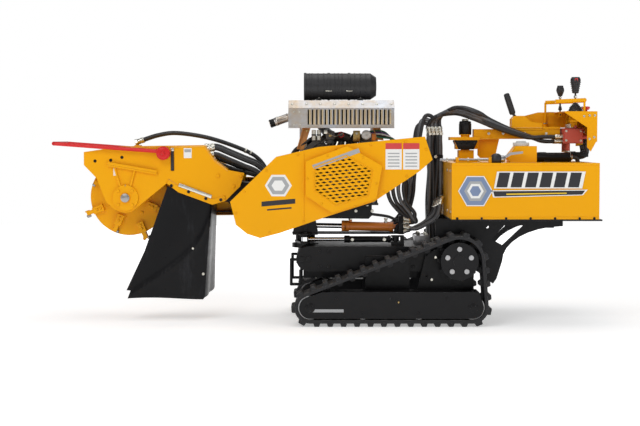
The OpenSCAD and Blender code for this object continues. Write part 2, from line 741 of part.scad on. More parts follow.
// One tooth: a pocket clamped to the disc and a cutter that leans out of it
module tooth(side) translate([0, side * disc_t / 2, 0]) {
    s = side > 0 ? 0 : -26;
    translate([disc_r - 62, s, -19]) cube([62, 26, 38]);
    translate([disc_r - 12, s + 3, -11]) cube([tip_r - disc_r + 2, 20, 22]);
    translate([tip_r - 22, s + 6, -16]) cube([17, 14, 8]);
}

// Every other tooth is set further in, to cut the floor of the groove
module cutter_teeth() color(yellow) for (k = [0 : teeth - 1], side = [-1, 1])
    translate([wheel_x, wheel_y, wheel_z]) rotate([0, first_tooth + k * 360 / teeth, 0])
    translate([k % 2 * -inner_tooth_step, 0, 0]) tooth(side);

module guard_bar() color(red) {
    y0 = head_near_y - 46;
    y1 = head_far_y + head_t + 50;
    difference() {
        union() {
            rod_y(bar_hub_x, bar_hub_z, y0, head_near_y - 7, 37);
            rod_y(bar_hub_x, bar_hub_z, head_far_y + head_t + 4, y1, 37);
        }
        rod_y(bar_hub_x, bar_hub_z, head_near_y - 24, head_near_y, 14 + fit);
        rod_y(bar_hub_x, bar_hub_z, head_far_y, head_far_y + head_t + 24, 14 + fit);
    }
    bent_bar([[bar_hub_x, y0 + 18, bar_hub_z + 8], [-1826, y0 + 18, 975], [-1826, y1 - 18, 975],
        [bar_hub_x, y1 - 18, bar_hub_z + 8]], 10.5);
}

module chip_curtain() color(rubber) {
    slab(head_near_y + head_t, 9) polygon([[-1213, 770], [-1070, 712], [-1062, 688], [-974, 688],
        [-974, 631], [-1010, 127], [-1413, 123]]);
    bar_x(-974, 8) polygon([[-190, 127], [-190, 638], [-130, 638], [-130, 652], [130, 652],
        [130, 638], [150, 638], [150, 550], [180, 550], [180, 130]]);
}

// Two square-sided stand-ins for the hoses that arch from the head to the belt guard
hose_arch = [[-1404, 985], [-1290, 1022], [-1179, 1034], [-1000, 1006], [-821, 945], [-700, 880]];

module boom_hoses() color(rubber) for (y = [18, 54]) slab(y, 24) polygon(concat(
    [for (p = hose_arch) p + [0, 12]],
    [for (i = [len(hose_arch) - 1 : -1 : 0]) hose_arch[i] - [0, 12]]));

// ---------------------------------------------------------------- belt drive

module jackshaft() color(steel) {
    rod_y(jack_x, jack_z, guard_y + 12, far_belt_y + 42, jack_shaft_r);
    rod_y(jack_x, jack_z, guard_y + 14, guard_y + 52, jack_pulley_r);
    rod_y(jack_x, jack_z, far_belt_y, far_belt_y + 40, jack_far_r);
}

module engine_pulley() color(steel) {
    rod_y(crank_x, crank_z, guard_y + 12, -215, 20);
    rod_y(crank_x, crank_z, guard_y + 14, guard_y + 60, engine_pulley_r);
}

module pump_pulley() color(steel) {
    rod_y(pump_x, pump_z, guard_y + 30, -318, 10);
    rod_y(pump_x, pump_z, guard_y + 42, guard_y + 60, pump_pulley_r);
}

// A belt around two pulleys
module belt_loop(a, ra, b, rb, y, w) slab(y, w) difference() {
    hull() {
        translate(a) circle(ra + belt_th);
        translate(b) circle(rb + belt_th);
    }
    hull() {
        translate(a) circle(ra + 0.4);
        translate(b) circle(rb + 0.4);
    }
}

module drive_belts() color(rubber) {
    belt_loop([jack_x, jack_z], jack_pulley_r, [crank_x, crank_z], engine_pulley_r, guard_y + 16, 24);
    belt_loop([pump_x, pump_z], pump_pulley_r, [crank_x, crank_z], engine_pulley_r, guard_y + 44, 14);
    belt_loop([jack_x, jack_z], jack_far_r, [wheel_x, wheel_z], cutter_pulley_r, far_belt_y + 4, 32);
}

guard_outline = [[-858, 666], [-612, 905], [-388, 957], [181, 1013], [222, 890], [155, 830],
    [-90, 666], [-328, 591], [-591, 499], [-698, 471], [-768, 494], [-826, 541]];
vent_outline = [[-402, 846], [-238, 906], [-105, 831], [-127, 705], [-290, 653], [-402, 727]];

module vent_box_outline() intersection() {
    offset(delta = 52) polygon(vent_outline);
    offset(delta = -10) polygon(guard_outline);
}

module belt_guard() color(yellow) {
    difference() {
        union() {
            slab(guard_y, guard_back_y - guard_y) polygon(guard_outline);
            slab(guard_y - 30, 31) vent_box_outline();
        }
        slab(guard_y + sheet, 200) offset(delta = -sheet) polygon(guard_outline);
        slab(guard_y - 30 + sheet, 40) offset(delta = -sheet) vent_box_outline();
        // diamond openings of the vent
        slab(guard_y - 31, 10) intersection() {
            polygon(vent_outline);
            for (i = [-7 : 7], j = [-9 : 9]) translate([-255 + 34 * i + 17 * (j % 2), 780 + 18 * j + 7 * i / 2])
                polygon([[-15, 0], [0, 5.5], [15, 0], [0, -5.5]]);
        }
    }
    // back plate that carries the guard
    difference() {
        slab(guard_back_y, 6) offset(delta = -1) polygon(guard_outline);
        rod_y(jack_x, jack_z, guard_back_y - 1, guard_back_y + 8, 34);
        rod_y(crank_x, crank_z, guard_back_y - 1, guard_back_y + 8, 34);
        rod_y(pump_x, pump_z, guard_back_y - 1, guard_back_y + 8, 20);
    }
    // stand-offs to the boom and to the engine
    for (p = [[-740, 640], [-420, 610]]) rod_y(p.x, p.y, guard_back_y + 5, -beam_y - beam_t, 14);
    for (x = [-360, -150]) rod_y(x, 840, guard_back_y + 5, -230, 14);
}

module far_belt_cover() color(yellow) difference() {
    slab(far_cover_y, 66) offset(delta = 18) hull() {
        translate([jack_x, jack_z]) circle(jack_far_r + 8);
        translate([wheel_x, wheel_z]) circle(cutter_pulley_r + 8);
    }
    slab(far_cover_y - 4, 66) offset(delta = 14) hull() {
        translate([jack_x, jack_z]) circle(jack_far_r + 8);
        translate([wheel_x, wheel_z]) circle(cutter_pulley_r + 8);
    }
}

// ---------------------------------------------------------------- engine

bank_tilt = 42;
head_h = 268;

module cylinder_bank(side) translate([crank_x, 0, crank_z]) rotate([0, side * bank_tilt, 0]) {
    block([-64, -150, 80], [64, -10, head_h - 28]);
    for (k = [0 : 8]) block([-80, -165, 120 + 13 * k], [80, 5, 127 + 13 * k]);
    block([-74, -158, head_h - 30], [74, -2, head_h]);
}

module engine() {
    color("#3A3B3D") {
        difference() {
            block([-385, -230, deck_z + deck_t], [-125, 120, 868]);
            rod_y(crank_x, crank_z, -240, -205, 20 + fit);
        }
        for (s = [-1, 1]) cylinder_bank(s);
    }
    color(black) {
        // blower housing on the far side
        rod_y(crank_x, crank_z + 20, 119, 200, 142);
        rod_y(crank_x, crank_z + 20, 199, 235, 110);
        // hydraulic pump on the guard's back plate
        difference() {
            union() {
                rod_y(pump_x, pump_z, guard_back_y + 10, -215, 42);
                slab(guard_back_y + 6, 10) hull() {
                    translate([pump_x - 45, pump_z]) circle(20);
                    translate([pump_x + 45, pump_z]) circle(20);
                    translate([pump_x, pump_z]) circle(48);
                }
            }
            rod_y(pump_x, pump_z, guard_back_y + 5, guard_back_y + 22, 10 + fit);
        }
    }
}

shield_x0 = -550;
shield_x1 = 26;
// Height of a cylinder head's outer face above x
function head_top(x) = crank_z + (head_h - abs(x - crank_x) * sin(bank_tilt)) / cos(bank_tilt);

module exhaust() {
    section = [[-235, 1061], [-235, 1166], [-190, 1211], [-15, 1211], [-15, 1120]];
    inner = [[-232, 1060], [-232, 1165], [-189, 1208], [-18, 1208], [-18, 1119]];
    color(silver) difference() {
        bar_x(shield_x0, shield_x1 - shield_x0) polygon(concat(section, [[-18, 1061]]));
        bar_x(shield_x0 + 3, shield_x1 - shield_x0 - 6) polygon(concat(inner, [[-21, 1060]]));
        for (k = [0 : 19]) block([shield_x0 + 105 + 23 * k, -240, 1078], [shield_x0 + 113 + 23 * k, -230, 1160]);
    }
    color(steel) {
        rod_x(-125, 1130, shield_x0 + 20, shield_x1 - 40, 60);
        // brackets that stand on the cylinder heads
        for (x = [-490, -100]) slab(-150, 44) polygon([[x, head_top(x) + 0.5],
            [x + 40, head_top(x + 40) + 0.5], [x + 40, 1080], [x, 1080]]);
    }
    color(black) bar([-520, -125, 1130], [-655, -125, 1082], 21);
}

module air_cleaner() color(black) {
    rod_x(-70, 1290, -467, -100, 73);
    for (x = [-467, -337, -224]) rod_x(-70, 1290, x, x + 14, 76);
    translate([-100, -70, 1290]) rotate([0, 90, 0]) cylinder(h = 32, r1 = 73, r2 = 52);
    for (x = [-400, -170]) block([x, -110, 1211], [x + 30, -30, 1225]);
}

module hose_column() color(rubber) {
    for (k = [0 : 2]) translate([250 + 22 * k, 90 + 34 * (k % 2), chassis_top]) cylinder(h = 704, r = 15);
    for (z = [620, 980]) block([236, 68, z], [314, 146, z + 22]);
}

// ---------------------------------------------------------------- assembly

chassis_frame();
tie_down_loops();
rear_support_plates();
platform();
kingpin();
both_sides() track_frame();  // track_frames
track_belt();  // track_belt_left
mirror([0, 1, 0]) track_belt();  // track_belt_right
both_sides() drive_motor();  // drive_motors
sprocket();  // sprocket_left
mirror([0, 1, 0]) sprocket();  // sprocket_right
idler(idler_front_x);  // front_idler_left
mirror([0, 1, 0]) idler(idler_front_x);  // front_idler_right
idler(idler_rear_x);  // rear_idler_left
mirror([0, 1, 0]) idler(idler_rear_x);  // rear_idler_right
roller(roller_x[0]);  // front_roller_left
mirror([0, 1, 0]) roller(roller_x[0]);  // front_roller_right
roller(roller_x[1]);  // rear_roller_left
mirror([0, 1, 0]) roller(roller_x[1]);  // rear_roller_right
tank_housing();
fuel_tank();
hydraulic_tank();
battery();
filler_box();
fuel_cap();
return_filter();
lock_rod();
station_post();
station_arm();
console_body();
valve_bank();
joystick_gimbal();
joystick();
boom_stick();
travel_lever();
stop_button();
key_switch();
hose_column();
swing_barrel();
swing_rod();
swing_frame();
lift_pin();
lift_barrel();
lift_rod();
boom_base();
boom_head();
guard_bar();
chip_curtain();
boom_hoses();
cutter_wheel();
cutter_teeth();
jackshaft();
engine_pulley();
pump_pulley();
drive_belts();
belt_guard();
far_belt_cover();
engine();
exhaust();
air_cleaner();
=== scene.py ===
"""Looks of a tracked stump grinder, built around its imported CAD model.

The frame is the CAD's: X from the cutter (-X) to the operator (+X), Y across, Z up. Shapes are written in
millimetres and scaled to metres when a piece is finished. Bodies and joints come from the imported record.
"""

import json
from math import acos, atan2, cos, exp, hypot, pi, radians, sin, sqrt

import bmesh
import bpy
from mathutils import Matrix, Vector


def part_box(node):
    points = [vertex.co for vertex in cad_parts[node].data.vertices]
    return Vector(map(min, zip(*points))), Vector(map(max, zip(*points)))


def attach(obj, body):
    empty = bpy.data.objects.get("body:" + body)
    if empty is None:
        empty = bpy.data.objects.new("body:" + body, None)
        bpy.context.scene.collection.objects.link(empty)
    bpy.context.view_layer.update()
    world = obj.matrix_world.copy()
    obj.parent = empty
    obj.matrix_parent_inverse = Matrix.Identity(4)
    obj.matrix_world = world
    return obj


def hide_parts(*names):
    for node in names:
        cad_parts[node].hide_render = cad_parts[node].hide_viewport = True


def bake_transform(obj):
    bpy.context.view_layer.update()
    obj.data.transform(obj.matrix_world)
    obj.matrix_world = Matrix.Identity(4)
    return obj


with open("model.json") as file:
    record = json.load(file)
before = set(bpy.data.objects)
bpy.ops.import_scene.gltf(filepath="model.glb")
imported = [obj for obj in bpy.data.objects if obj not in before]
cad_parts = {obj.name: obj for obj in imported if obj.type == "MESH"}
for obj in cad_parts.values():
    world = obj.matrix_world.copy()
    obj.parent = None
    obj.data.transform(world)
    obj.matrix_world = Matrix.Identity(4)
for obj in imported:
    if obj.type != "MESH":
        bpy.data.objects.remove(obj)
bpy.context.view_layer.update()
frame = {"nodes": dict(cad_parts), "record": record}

SCENE = bpy.context.scene
MM = 0.001
SHARP = radians(38)     # faces that meet at more than this keep a crisp edge
WHITE = (1, 1, 1, 1)
DUST = (0.25, 0.24, 0.23, 1)
BRONZE = (0.50, 0.36, 0.20, 1)
BRAID = (0.09, 0.09, 0.095, 1)
SCUFF = (0.09, 0.095, 0.11, 1)
BOX_FACES = [(0, 1, 3, 2), (4, 6, 7, 5), (0, 4, 5, 1), (2, 3, 7, 6), (0, 2, 6, 4), (1, 5, 7, 3)]
SIDES = (("left", -1), ("right", 1))


def cad(node):
    """Lowest corner, highest corner and middle of a CAD node, in millimetres."""
    low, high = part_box(node)
    return low / MM, high / MM, (low + high) / 2 / MM


def circle(x, z, r, count, start=0.0, swing=360.0):
    """Points spaced evenly round a circle, or round the first part of one."""
    turns = [radians(start + swing * k / count) for k in range(count)]
    return [(x + r * cos(t), z + r * sin(t)) for t in turns]


def pairs(outline):
    """The sides of a closed outline."""
    return zip(outline, outline[1:] + outline[:1])


# ---------------- materials

class Shader:
    """A node tree with short calls for the nodes that the finishes below share."""

    def __init__(self, name):
        self.material = bpy.data.materials.new(name)
        self.material.use_nodes = True
        self.tree = self.material.node_tree
        self.bsdf = self.tree.nodes["Principled BSDF"]
        self.place = self.node("TexCoord").outputs["Object"]

    def node(self, kind, **values):
        made = self.tree.nodes.new("ShaderNode" + kind)
        for key, value in values.items():
            if hasattr(made, key):
                setattr(made, key, value)
            else:
                self.feed(made.inputs[key.replace("_", " ")], value)
        return made

    def feed(self, socket, value):
        if isinstance(value, bpy.types.NodeSocket):
            self.tree.links.new(value, socket)
        else:
            socket.default_value = value

    def surface(self, **values):
        for key, value in values.items():
            self.feed(self.bsdf.inputs[key.replace("_", " ")], value)

    def noise(self, scale, detail=3.0, roughness=0.5, stretch=None):
        place = self.place
        if stretch:
            place = self.node("Mapping", Vector=place, Scale=stretch).outputs["Vector"]
        return self.node("TexNoise", Vector=place, Scale=scale, Detail=detail, Roughness=roughness).outputs["Fac"]

    def ramp(self, value, low, high, to_low=0.0, to_high=1.0):
        return self.node("MapRange", Value=value, From_Min=low, From_Max=high, To_Min=to_low,
                         To_Max=to_high).outputs["Result"]

    def maths(self, operation, a, b):
        made = self.node("Math", operation=operation, use_clamp=True)
        self.feed(made.inputs[0], a)
        self.feed(made.inputs[1], b)
        return made.outputs["Value"]

    def times(self, a, b):
        return self.maths("MULTIPLY", a, b)

    def mix(self, factor, a, b):
        return self.node("Mix", data_type="RGBA", Factor=factor, A=a, B=b).outputs["Result"]


def shade(colour, share):
    return tuple(min(1.0, c * share) for c in colour[:3]) + (1.0,)


def finish(name, colour, rough, metal=0.0, grain=(500, 0.05), mottle=0.08, wear=None, dust=0.0, coat=0.0,
           soften=1.2, extra=None, shine=0.5):
    """A surface with colour variation, grain, softened and worn edges, and dust on what faces up."""
    s = Shader(name)
    smudge_scale, smudge_detail, smudge_rough = 42.0, 6.0, 0.62
    cloud = s.noise(5.0, 4.0)
    smudge = s.noise(smudge_scale, smudge_detail, smudge_rough)
    base = s.mix(cloud, shade(colour, 1 - mottle), shade(colour, 1 + mottle))
    if extra:
        base = extra(s, base)
    rounded = s.node("Bevel", samples=4, Radius=soften * MM).outputs["Normal"]
    true_normal = s.node("NewGeometry").outputs["Normal"]
    facing = s.node("VectorMath", operation="DOT_PRODUCT")
    s.feed(facing.inputs[0], rounded)
    s.feed(facing.inputs[1], true_normal)
    if wear:
        edge = s.ramp(facing.outputs["Value"], 0.985, 0.90)
        patchy = s.ramp(smudge, 0.50, 0.62)
        base = s.mix(s.times(s.times(edge, patchy), wear[1]), base, shade(wear[0], 1))
    up = s.node("SeparateXYZ", Vector=true_normal).outputs["Z"]
    settled = s.times(s.ramp(up, 0.3, 0.95), s.ramp(smudge, 0.42, 0.62, 0.25, 1.0))
    base = s.mix(s.times(settled, dust), base, DUST)
    roughness = s.ramp(smudge, 0.3, 0.7, rough * 0.82, min(1.0, rough * 1.2 + dust * 0.2))
    bump = s.node("Bump", Height=s.noise(grain[0], 2.0), Strength=0.5, Distance=grain[1] * MM, Normal=rounded)
    s.surface(Base_Color=base, Roughness=roughness, Metallic=metal, Coat_Weight=coat, Coat_Roughness=0.12,
              Specular_IOR_Level=shine, Normal=bump.outputs["Normal"])
    return s.material


def heat_tint(s, base):
    """Straw and bronze stains that gather in clouds on hot sheet metal."""
    stain = s.ramp(s.noise(7.0, 5.0, 0.7), 0.40, 0.66)
    return s.mix(s.times(stain, 0.75), base, BRONZE)


def braid(s, base):
    """Fine bright lines round a hose, where its cover shows the braid below."""
    wave = s.node("TexWave", Vector=s.place, Scale=60.0, Distortion=2.0, bands_direction="DIAGONAL")
    return s.mix(s.times(wave.outputs["Fac"], 0.25), base, BRAID)


def scuffs(s, base):
    """Long pale rubs down a hanging rubber sheet."""
    rub = s.ramp(s.noise(9.0, 8.0, 0.75, stretch=(1.0, 1.0, 0.25)), 0.55, 0.75)
    return s.mix(s.times(rub, 0.22), base, SCUFF)


STEEL = (0.55, 0.56, 0.58)
PRIMER = (0.30, 0.29, 0.27)
FINE, LABEL = (900, 0.05), (300, 0.02)
FLAT = dict(grain=LABEL, soften=0.2)
PLATED = dict(metal=1.0, grain=(600, 0.05), soften=0.6)
# name: colour, roughness, and what differs from an ordinary finish; the first 17 are the record's own slots
LOOKS = {
    "yellow_paint": ((0.835, 0.375, 0.0006), 0.36, dict(grain=FINE, mottle=0.03, wear=((0.50, 0.22, 0.02), 0.35),
                                                        dust=0.03, coat=0.06, soften=2.2, shine=0.14)),
    "black_paint": ((0.005, 0.005, 0.006), 0.42, dict(grain=(800, 0.06), mottle=0.25, wear=(STEEL, 0.22),
                                                      dust=0.05, coat=0.08, soften=2.0, shine=0.22)),
    "red_paint": ((0.62, 0.012, 0.012), 0.36, dict(grain=FINE, wear=(PRIMER, 0.4), coat=0.15, shine=0.3)),
    "orange_paint": ((0.80, 0.24, 0.03), 0.34, dict(grain=FINE, wear=(PRIMER, 0.4), coat=0.4)),
    "track_rubber": ((0.016, 0.016, 0.018), 0.62, dict(grain=(700, 0.18), mottle=0.3, dust=0.30, soften=2.5,
                                                       wear=((0.16, 0.16, 0.17), 0.8), shine=0.4)),
    "hose_rubber": ((0.014, 0.014, 0.016), 0.42, dict(grain=(900, 0.1), extra=braid)),
    "flap_rubber": ((0.005, 0.005, 0.006), 0.33, dict(grain=(260, 0.25), mottle=0.2, extra=scuffs, dust=0.04,
                                                      wear=((0.12, 0.12, 0.12), 0.5), shine=0.18)),
    "belt_rubber": ((0.02, 0.02, 0.02), 0.75, dict(grain=(500, 0.15), dust=0.1)),
    "bare_steel": ((0.50, 0.50, 0.51), 0.34, dict(metal=1.0, grain=(700, 0.04), dust=0.04)),
    "chrome_rod": ((0.86, 0.87, 0.88), 0.09, dict(metal=1.0, grain=(300, 0.01), mottle=0.02)),
    "aluminised": ((0.52, 0.535, 0.57), 0.40, dict(metal=1.0, grain=(160, 0.15), mottle=0.1, extra=heat_tint,
                                                   soften=2.0)),
    "engine_alloy": ((0.11, 0.105, 0.10), 0.52, dict(metal=0.6, grain=(420, 0.25), mottle=0.25,
                                                     wear=(STEEL, 0.5), dust=0.15)),
    "black_plastic": ((0.016, 0.016, 0.018), 0.46, dict(grain=(650, 0.12), dust=0.08, soften=3.0,
                                                        wear=((0.08, 0.08, 0.08), 0.5))),
    "grey_plastic": ((0.62, 0.62, 0.61), 0.42, dict(grain=(650, 0.08))),
    "red_plastic": ((0.68, 0.02, 0.02), 0.25, dict(grain=(650, 0.04), coat=0.4)),
    "valve_red": ((0.50, 0.075, 0.045), 0.48, dict(grain=(420, 0.3), mottle=0.2, wear=(STEEL, 0.5), dust=0.1)),
    "carbide_steel": ((0.36, 0.35, 0.34), 0.38, dict(metal=0.9, grain=(350, 0.2), mottle=0.2)),
    # partly painted sheen: a blue-grey rubber, lighter than the black hoses, standing in for the grey sheen they show
    # under light
    "grey_sheen_hose": ((0.10, 0.105, 0.115), 0.30, dict(grain=(900, 0.1), extra=braid, coat=0.3)),
    "zinc": ((0.72, 0.70, 0.62), 0.30, PLATED),
    "brass": ((0.60, 0.42, 0.16), 0.32, PLATED),
    "white_label": ((0.80, 0.80, 0.78), 0.35, FLAT),
    "grey_label": ((0.36, 0.37, 0.38), 0.38, FLAT),
    "dark_label": ((0.018, 0.018, 0.022), 0.35, FLAT),
    "blue_label": ((0.18, 0.24, 0.38), 0.35, FLAT),
    "red_label": ((0.60, 0.05, 0.05), 0.35, FLAT),
    "yellow_bar": ((0.80, 0.52, 0.01), 0.35, FLAT),
    "louvre_tan": ((0.58, 0.46, 0.29), 0.38, dict(metal=0.7, grain=(400, 0.1), mottle=0.15)),
    "tan_paint": ((0.62, 0.27, 0.07), 0.40, dict(grain=(600, 0.05), mottle=0.12)),
    # painted shade: near-black fill for holes, slots and openings, standing in for the shade inside them
    "painted_hole_shade": ((0.004, 0.004, 0.004), 0.9, dict(grain=LABEL)),
    "white_plastic": ((0.78, 0.78, 0.76), 0.35, {}),
    "purple_wire": ((0.12, 0.05, 0.22), 0.4, {}),
    "green_wire": ((0.03, 0.16, 0.09), 0.4, {}),
    "weld": ((0.80, 0.38, 0.012), 0.36, dict(grain=(250, 0.3), mottle=0.15, coat=0.4)),
    "black_weld": ((0.014, 0.014, 0.015), 0.42, dict(grain=(250, 0.3), mottle=0.2)),
}
FINISHES = {name: finish(name, colour, rough, **more) for name, (colour, rough, more) in LOOKS.items()}


def smooth(mesh):
    mesh.shade_smooth()
    mesh.set_sharp_from_angle(angle=SHARP)


for part in frame["record"]["subparts"]:
    shown = frame["nodes"][part["node"]].data.materials
    shown.clear()
    shown.append(FINISHES[part["material_slot"]])


# ---------------- mesh building

def spline(points, steps=8):
    """A smooth line through points, with steps pieces between each two."""
    p = [Vector(q) for q in points]
    p = [2 * p[0] - p[1]] + p + [2 * p[-1] - p[-2]]
    line = []
    for a, b, c, d in zip(p, p[1:], p[2:], p[3:]):
        for k in range(steps):
            t = k / steps
            line.append(0.5 * (2 * b + (c - a) * t + (2 * a - 5 * b + 4 * c - d) * t * t
                               + (3 * b - a - 3 * c + d) * t ** 3))
    line.append(p[-2])
    return line


def grid(rows, n, closed=False):
    """Faces between neighbouring rows of n points, each row a closed loop."""
    count = rows if closed else rows - 1
    return [(j * n + k, j * n + (k + 1) % n, (j + 1) % rows * n + (k + 1) % n, (j + 1) % rows * n + k)
            for j in range(count) for k in range(n)]


def caps(rows, n):
    """The two end faces of the same."""
    return [tuple(range(n - 1, -1, -1)), tuple(range((rows - 1) * n, rows * n))]


class Piece:
    """One object in the making: shapes are added in millimetres, then it rides on a body."""

    def __init__(self, name, slot):
        self.name = name
        self.slot = slot
        self.bm = bmesh.new()
        self.used = []

    def add(self, points, faces, look=None, bevel=0):
        """A shape from points and faces, in a look. bevel is the width that a closed shape's edges soften by."""
        name = look or self.slot
        if name not in self.used:
            self.used.append(name)
        verts = [self.bm.verts.new(p) for p in points]
        made = [self.bm.faces.new([verts[i] for i in face]) for face in faces]
        for f in made:
            f.material_index = self.used.index(name)
        if bevel:
            edges = list({e for f in made for e in f.edges})
            bmesh.ops.bevel(self.bm, geom=edges, offset=bevel, segments=2, profile=0.6, affect="EDGES",
                            clamp_overlap=True, material=-1)

    def box(self, low, high, look=None, bevel=1.5, place=lambda x, y, z: (x, y, z)):
        points = [place(x, y, z) for x in (low[0], high[0]) for y in (low[1], high[1]) for z in (low[2], high[2])]
        self.add(points, BOX_FACES, look, bevel)

    def slab(self, outline, y, thick, look=None, bevel=0.0):
        """An outline in X and Z, thick along Y from y."""
        n = len(outline)
        points = [(x, y, z) for x, z in outline] + [(x, y + thick, z) for x, z in outline]
        faces = [tuple(range(n)), tuple(range(2 * n - 1, n - 1, -1))]
        faces += [(k, (k + 1) % n, n + (k + 1) % n, n + k) for k in range(n)]
        self.add(points, faces, look, bevel)

    def pane(self, x0, z0, x1, z1, y, thick, look=None, bevel=0.0):
        """A rectangular slab."""
        self.slab([(x0, z0), (x1, z0), (x1, z1), (x0, z1)], y, thick, look, bevel)

    def lathe(self, start, end, profile, look=None, n=24):
        """Turns (distance from start, radius) points about the line from start to end."""
        start = Vector(start)
        axis = (Vector(end) - start).normalized()
        side = axis.orthogonal().normalized()
        up = axis.cross(side)
        turns = [2 * pi * (k + 0.5) / n for k in range(n)]
        points = [start + axis * along + (side * cos(t) + up * sin(t)) * r for along, r in profile for t in turns]
        self.add(points, grid(len(profile), n) + caps(len(profile), n), look)

    def rod(self, start, end, r, look=None, n=24, chamfer=1.0):
        long = (Vector(end) - Vector(start)).length
        c = min(chamfer, r * 0.4, long * 0.4)
        self.lathe(start, end, [(0, r - c), (c, r), (long - c, r), (long, r - c)], look, n)

    def tube(self, line, r, look=None, n=12, closed=False, ripple=0.0, period=4):
        """A round tube along a line of points. ripple swells it every few points, as a weld bead does."""
        line = [Vector(p) for p in line]
        count = len(line)
        points = []
        side = None
        for i, p in enumerate(line):
            ahead = line[(i + 1) % count] if closed or i < count - 1 else p
            behind = line[i - 1] if closed or i else p
            run = (ahead - behind).normalized()
            side = run.orthogonal() if side is None else side - run * side.dot(run)
            side.normalize()
            up = run.cross(side)
            radius = r * (1 + ripple * cos(2 * pi * i / period))
            points += [p + (side * cos(2 * pi * k / n) + up * sin(2 * pi * k / n)) * radius for k in range(n)]
        self.add(points, grid(count, n, closed) + ([] if closed else caps(count, n)), look)

    def hoop(self, centre, radius, count, r, look=None, n=8, flat=True):
        """A closed tube round a circle that lies flat, or that faces Y."""
        x, y, z = centre
        turn = [(a, b, z) for a, b in circle(x, y, radius, count)] if flat else \
            [(a, y, b) for a, b in circle(x, z, radius, count)]
        self.tube(turn, r, look, n, closed=True)

    def weld(self, points, r=3.0, look="weld"):
        """A weld bead along straight runs between points."""
        line = []
        for a, b in zip(points, points[1:]):
            a, b = Vector(a), Vector(b)
            steps = max(2, int((b - a).length / 2.5))
            line += [a.lerp(b, k / steps) for k in range(steps)]
        self.tube(line + [Vector(points[-1])], r, look, n=6, ripple=0.18, period=3)

    def bolt(self, at, outward, size=10, look="zinc", washer=True):
        """A hexagon head on a washer. size is the thread's diameter."""
        at = Vector(at)
        out = Vector(outward).normalized()
        if washer:
            self.rod(at, at + out * size * 0.2, size * 1.1, look, 20, 0.4)
            at = at + out * size * 0.2
        high = size * 0.62
        self.lathe(at, at + out, [(0, size * 0.95), (high * 0.8, size * 0.95), (high, size * 0.8)], look, 6)

    def bolts(self, places, y, size, look="zinc", washer=True, out=-1):
        """Bolts at places in X and Z on a face that looks along Y."""
        for x, z in places:
            self.bolt((x, y, z), (0, out, 0), size, look, washer)

    def ring(self, at, along, r, look="zinc"):
        """A short clamp round a hose."""
        half = Vector(along).normalized() * r * 0.5
        self.lathe(Vector(at) - half, Vector(at) + half, [(0, r * 1.04), (1, r * 1.16), (r - 1, r * 1.16),
                   (r, r * 1.04)], look, 20)

    def hose(self, line, r, look="hose_rubber", ends=True, steps=8, n=12):
        """A hose through points, with a crimped ferrule and a nut at each end."""
        path = spline(line, steps)
        self.tube(path, r, look, n)
        if ends:
            crimp = [(0, 1.12), (0.3, 1.28), (1.6, 1.28), (1.7, 1.05), (2.6, 1.3), (3.2, 1.1)]
            nut = [(0, 1.2), (0.3 / r, 1.45), (1.2, 1.45), (1.3, 1.2)]
            for tip, inner in ((path[0], path[2]), (path[-1], path[-3])):
                out = (tip - inner).normalized()
                self.lathe(tip - out * r * 3.2, tip, [(d * r, s * r) for d, s in crimp], "zinc", 16)
                self.lathe(tip, tip + out, [(d * r, s * r) for d, s in nut], "zinc", 6)
        return path

    def pipe(self, line, r, look=None, n=12):
        """A smooth tube with plain ends."""
        self.tube(spline(line), r, look, n)

    def done(self, body, *stands_for):
        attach(self.to_object(stands_for), body)

    def bend(self, a, b, start, end):
        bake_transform(self.to_object())

    def to_object(self, stands_for=()):
        bmesh.ops.recalc_face_normals(self.bm, faces=self.bm.faces)
        bmesh.ops.scale(self.bm, vec=(MM, MM, MM), verts=self.bm.verts)
        mesh = bpy.data.meshes.new(self.name)
        self.bm.to_mesh(mesh)
        self.bm.free()
        smooth(mesh)
        for name in self.used:
            mesh.materials.append(FINISHES[name])
        made = bpy.data.objects.new(self.name, mesh)
        SCENE.collection.objects.link(made)
        if stands_for:
            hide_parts(*stands_for)
        return made


# ---------------- tracks

BELT_T = 20
LUG_H = 17
LUG_PITCH = 72
SPROCKET_LINE = 118     # radius of the belt's inside round the drive sprocket
CORD = 8                # depth of the belt's cords, whose length doesn't change


def track_loop(side):
    """The belt's inside line: its length, and a function from distance along it to x, z and outward angle."""
    wheels = []
    for node in (f"front_idler_{side}", f"rear_idler_{side}"):
        low, high, middle = cad(node)
        wheels.append((middle.x, middle.z, (high.z - low.z) / 2 + 0.5))
    motor = cad("drive_motors")[2]
    wheels.append((motor.x, motor.z, SPROCKET_LINE))
    runs = []
    for (ax, az, ar), (bx, bz, br) in pairs(wheels):
        gap = hypot(bx - ax, bz - az)
        normal = atan2(bz - az, bx - ax) - acos((ar - br) / gap)
        runs.append([normal, sqrt(gap ** 2 - (ar - br) ** 2), ax, az, ar, bx, bz, br])
    arcs = [((after[0] - run[0]) % (2 * pi)) * (run[7] + CORD) for run, after in pairs(runs)]
    total = sum(run[1] for run in runs) + sum(arcs)

    def at(s):
        s %= total
        for (normal, straight, ax, az, ar, bx, bz, br), arc in zip(runs, arcs):
            if s <= straight:
                return ax + ar * cos(normal) - s * sin(normal), az + ar * sin(normal) + s * cos(normal), normal
            s -= straight
            if s <= arc:
                now = normal + s / (br + CORD)
                return bx + br * cos(now), bz + br * sin(now), now
            s -= arc
        return at(0)
    return total, at


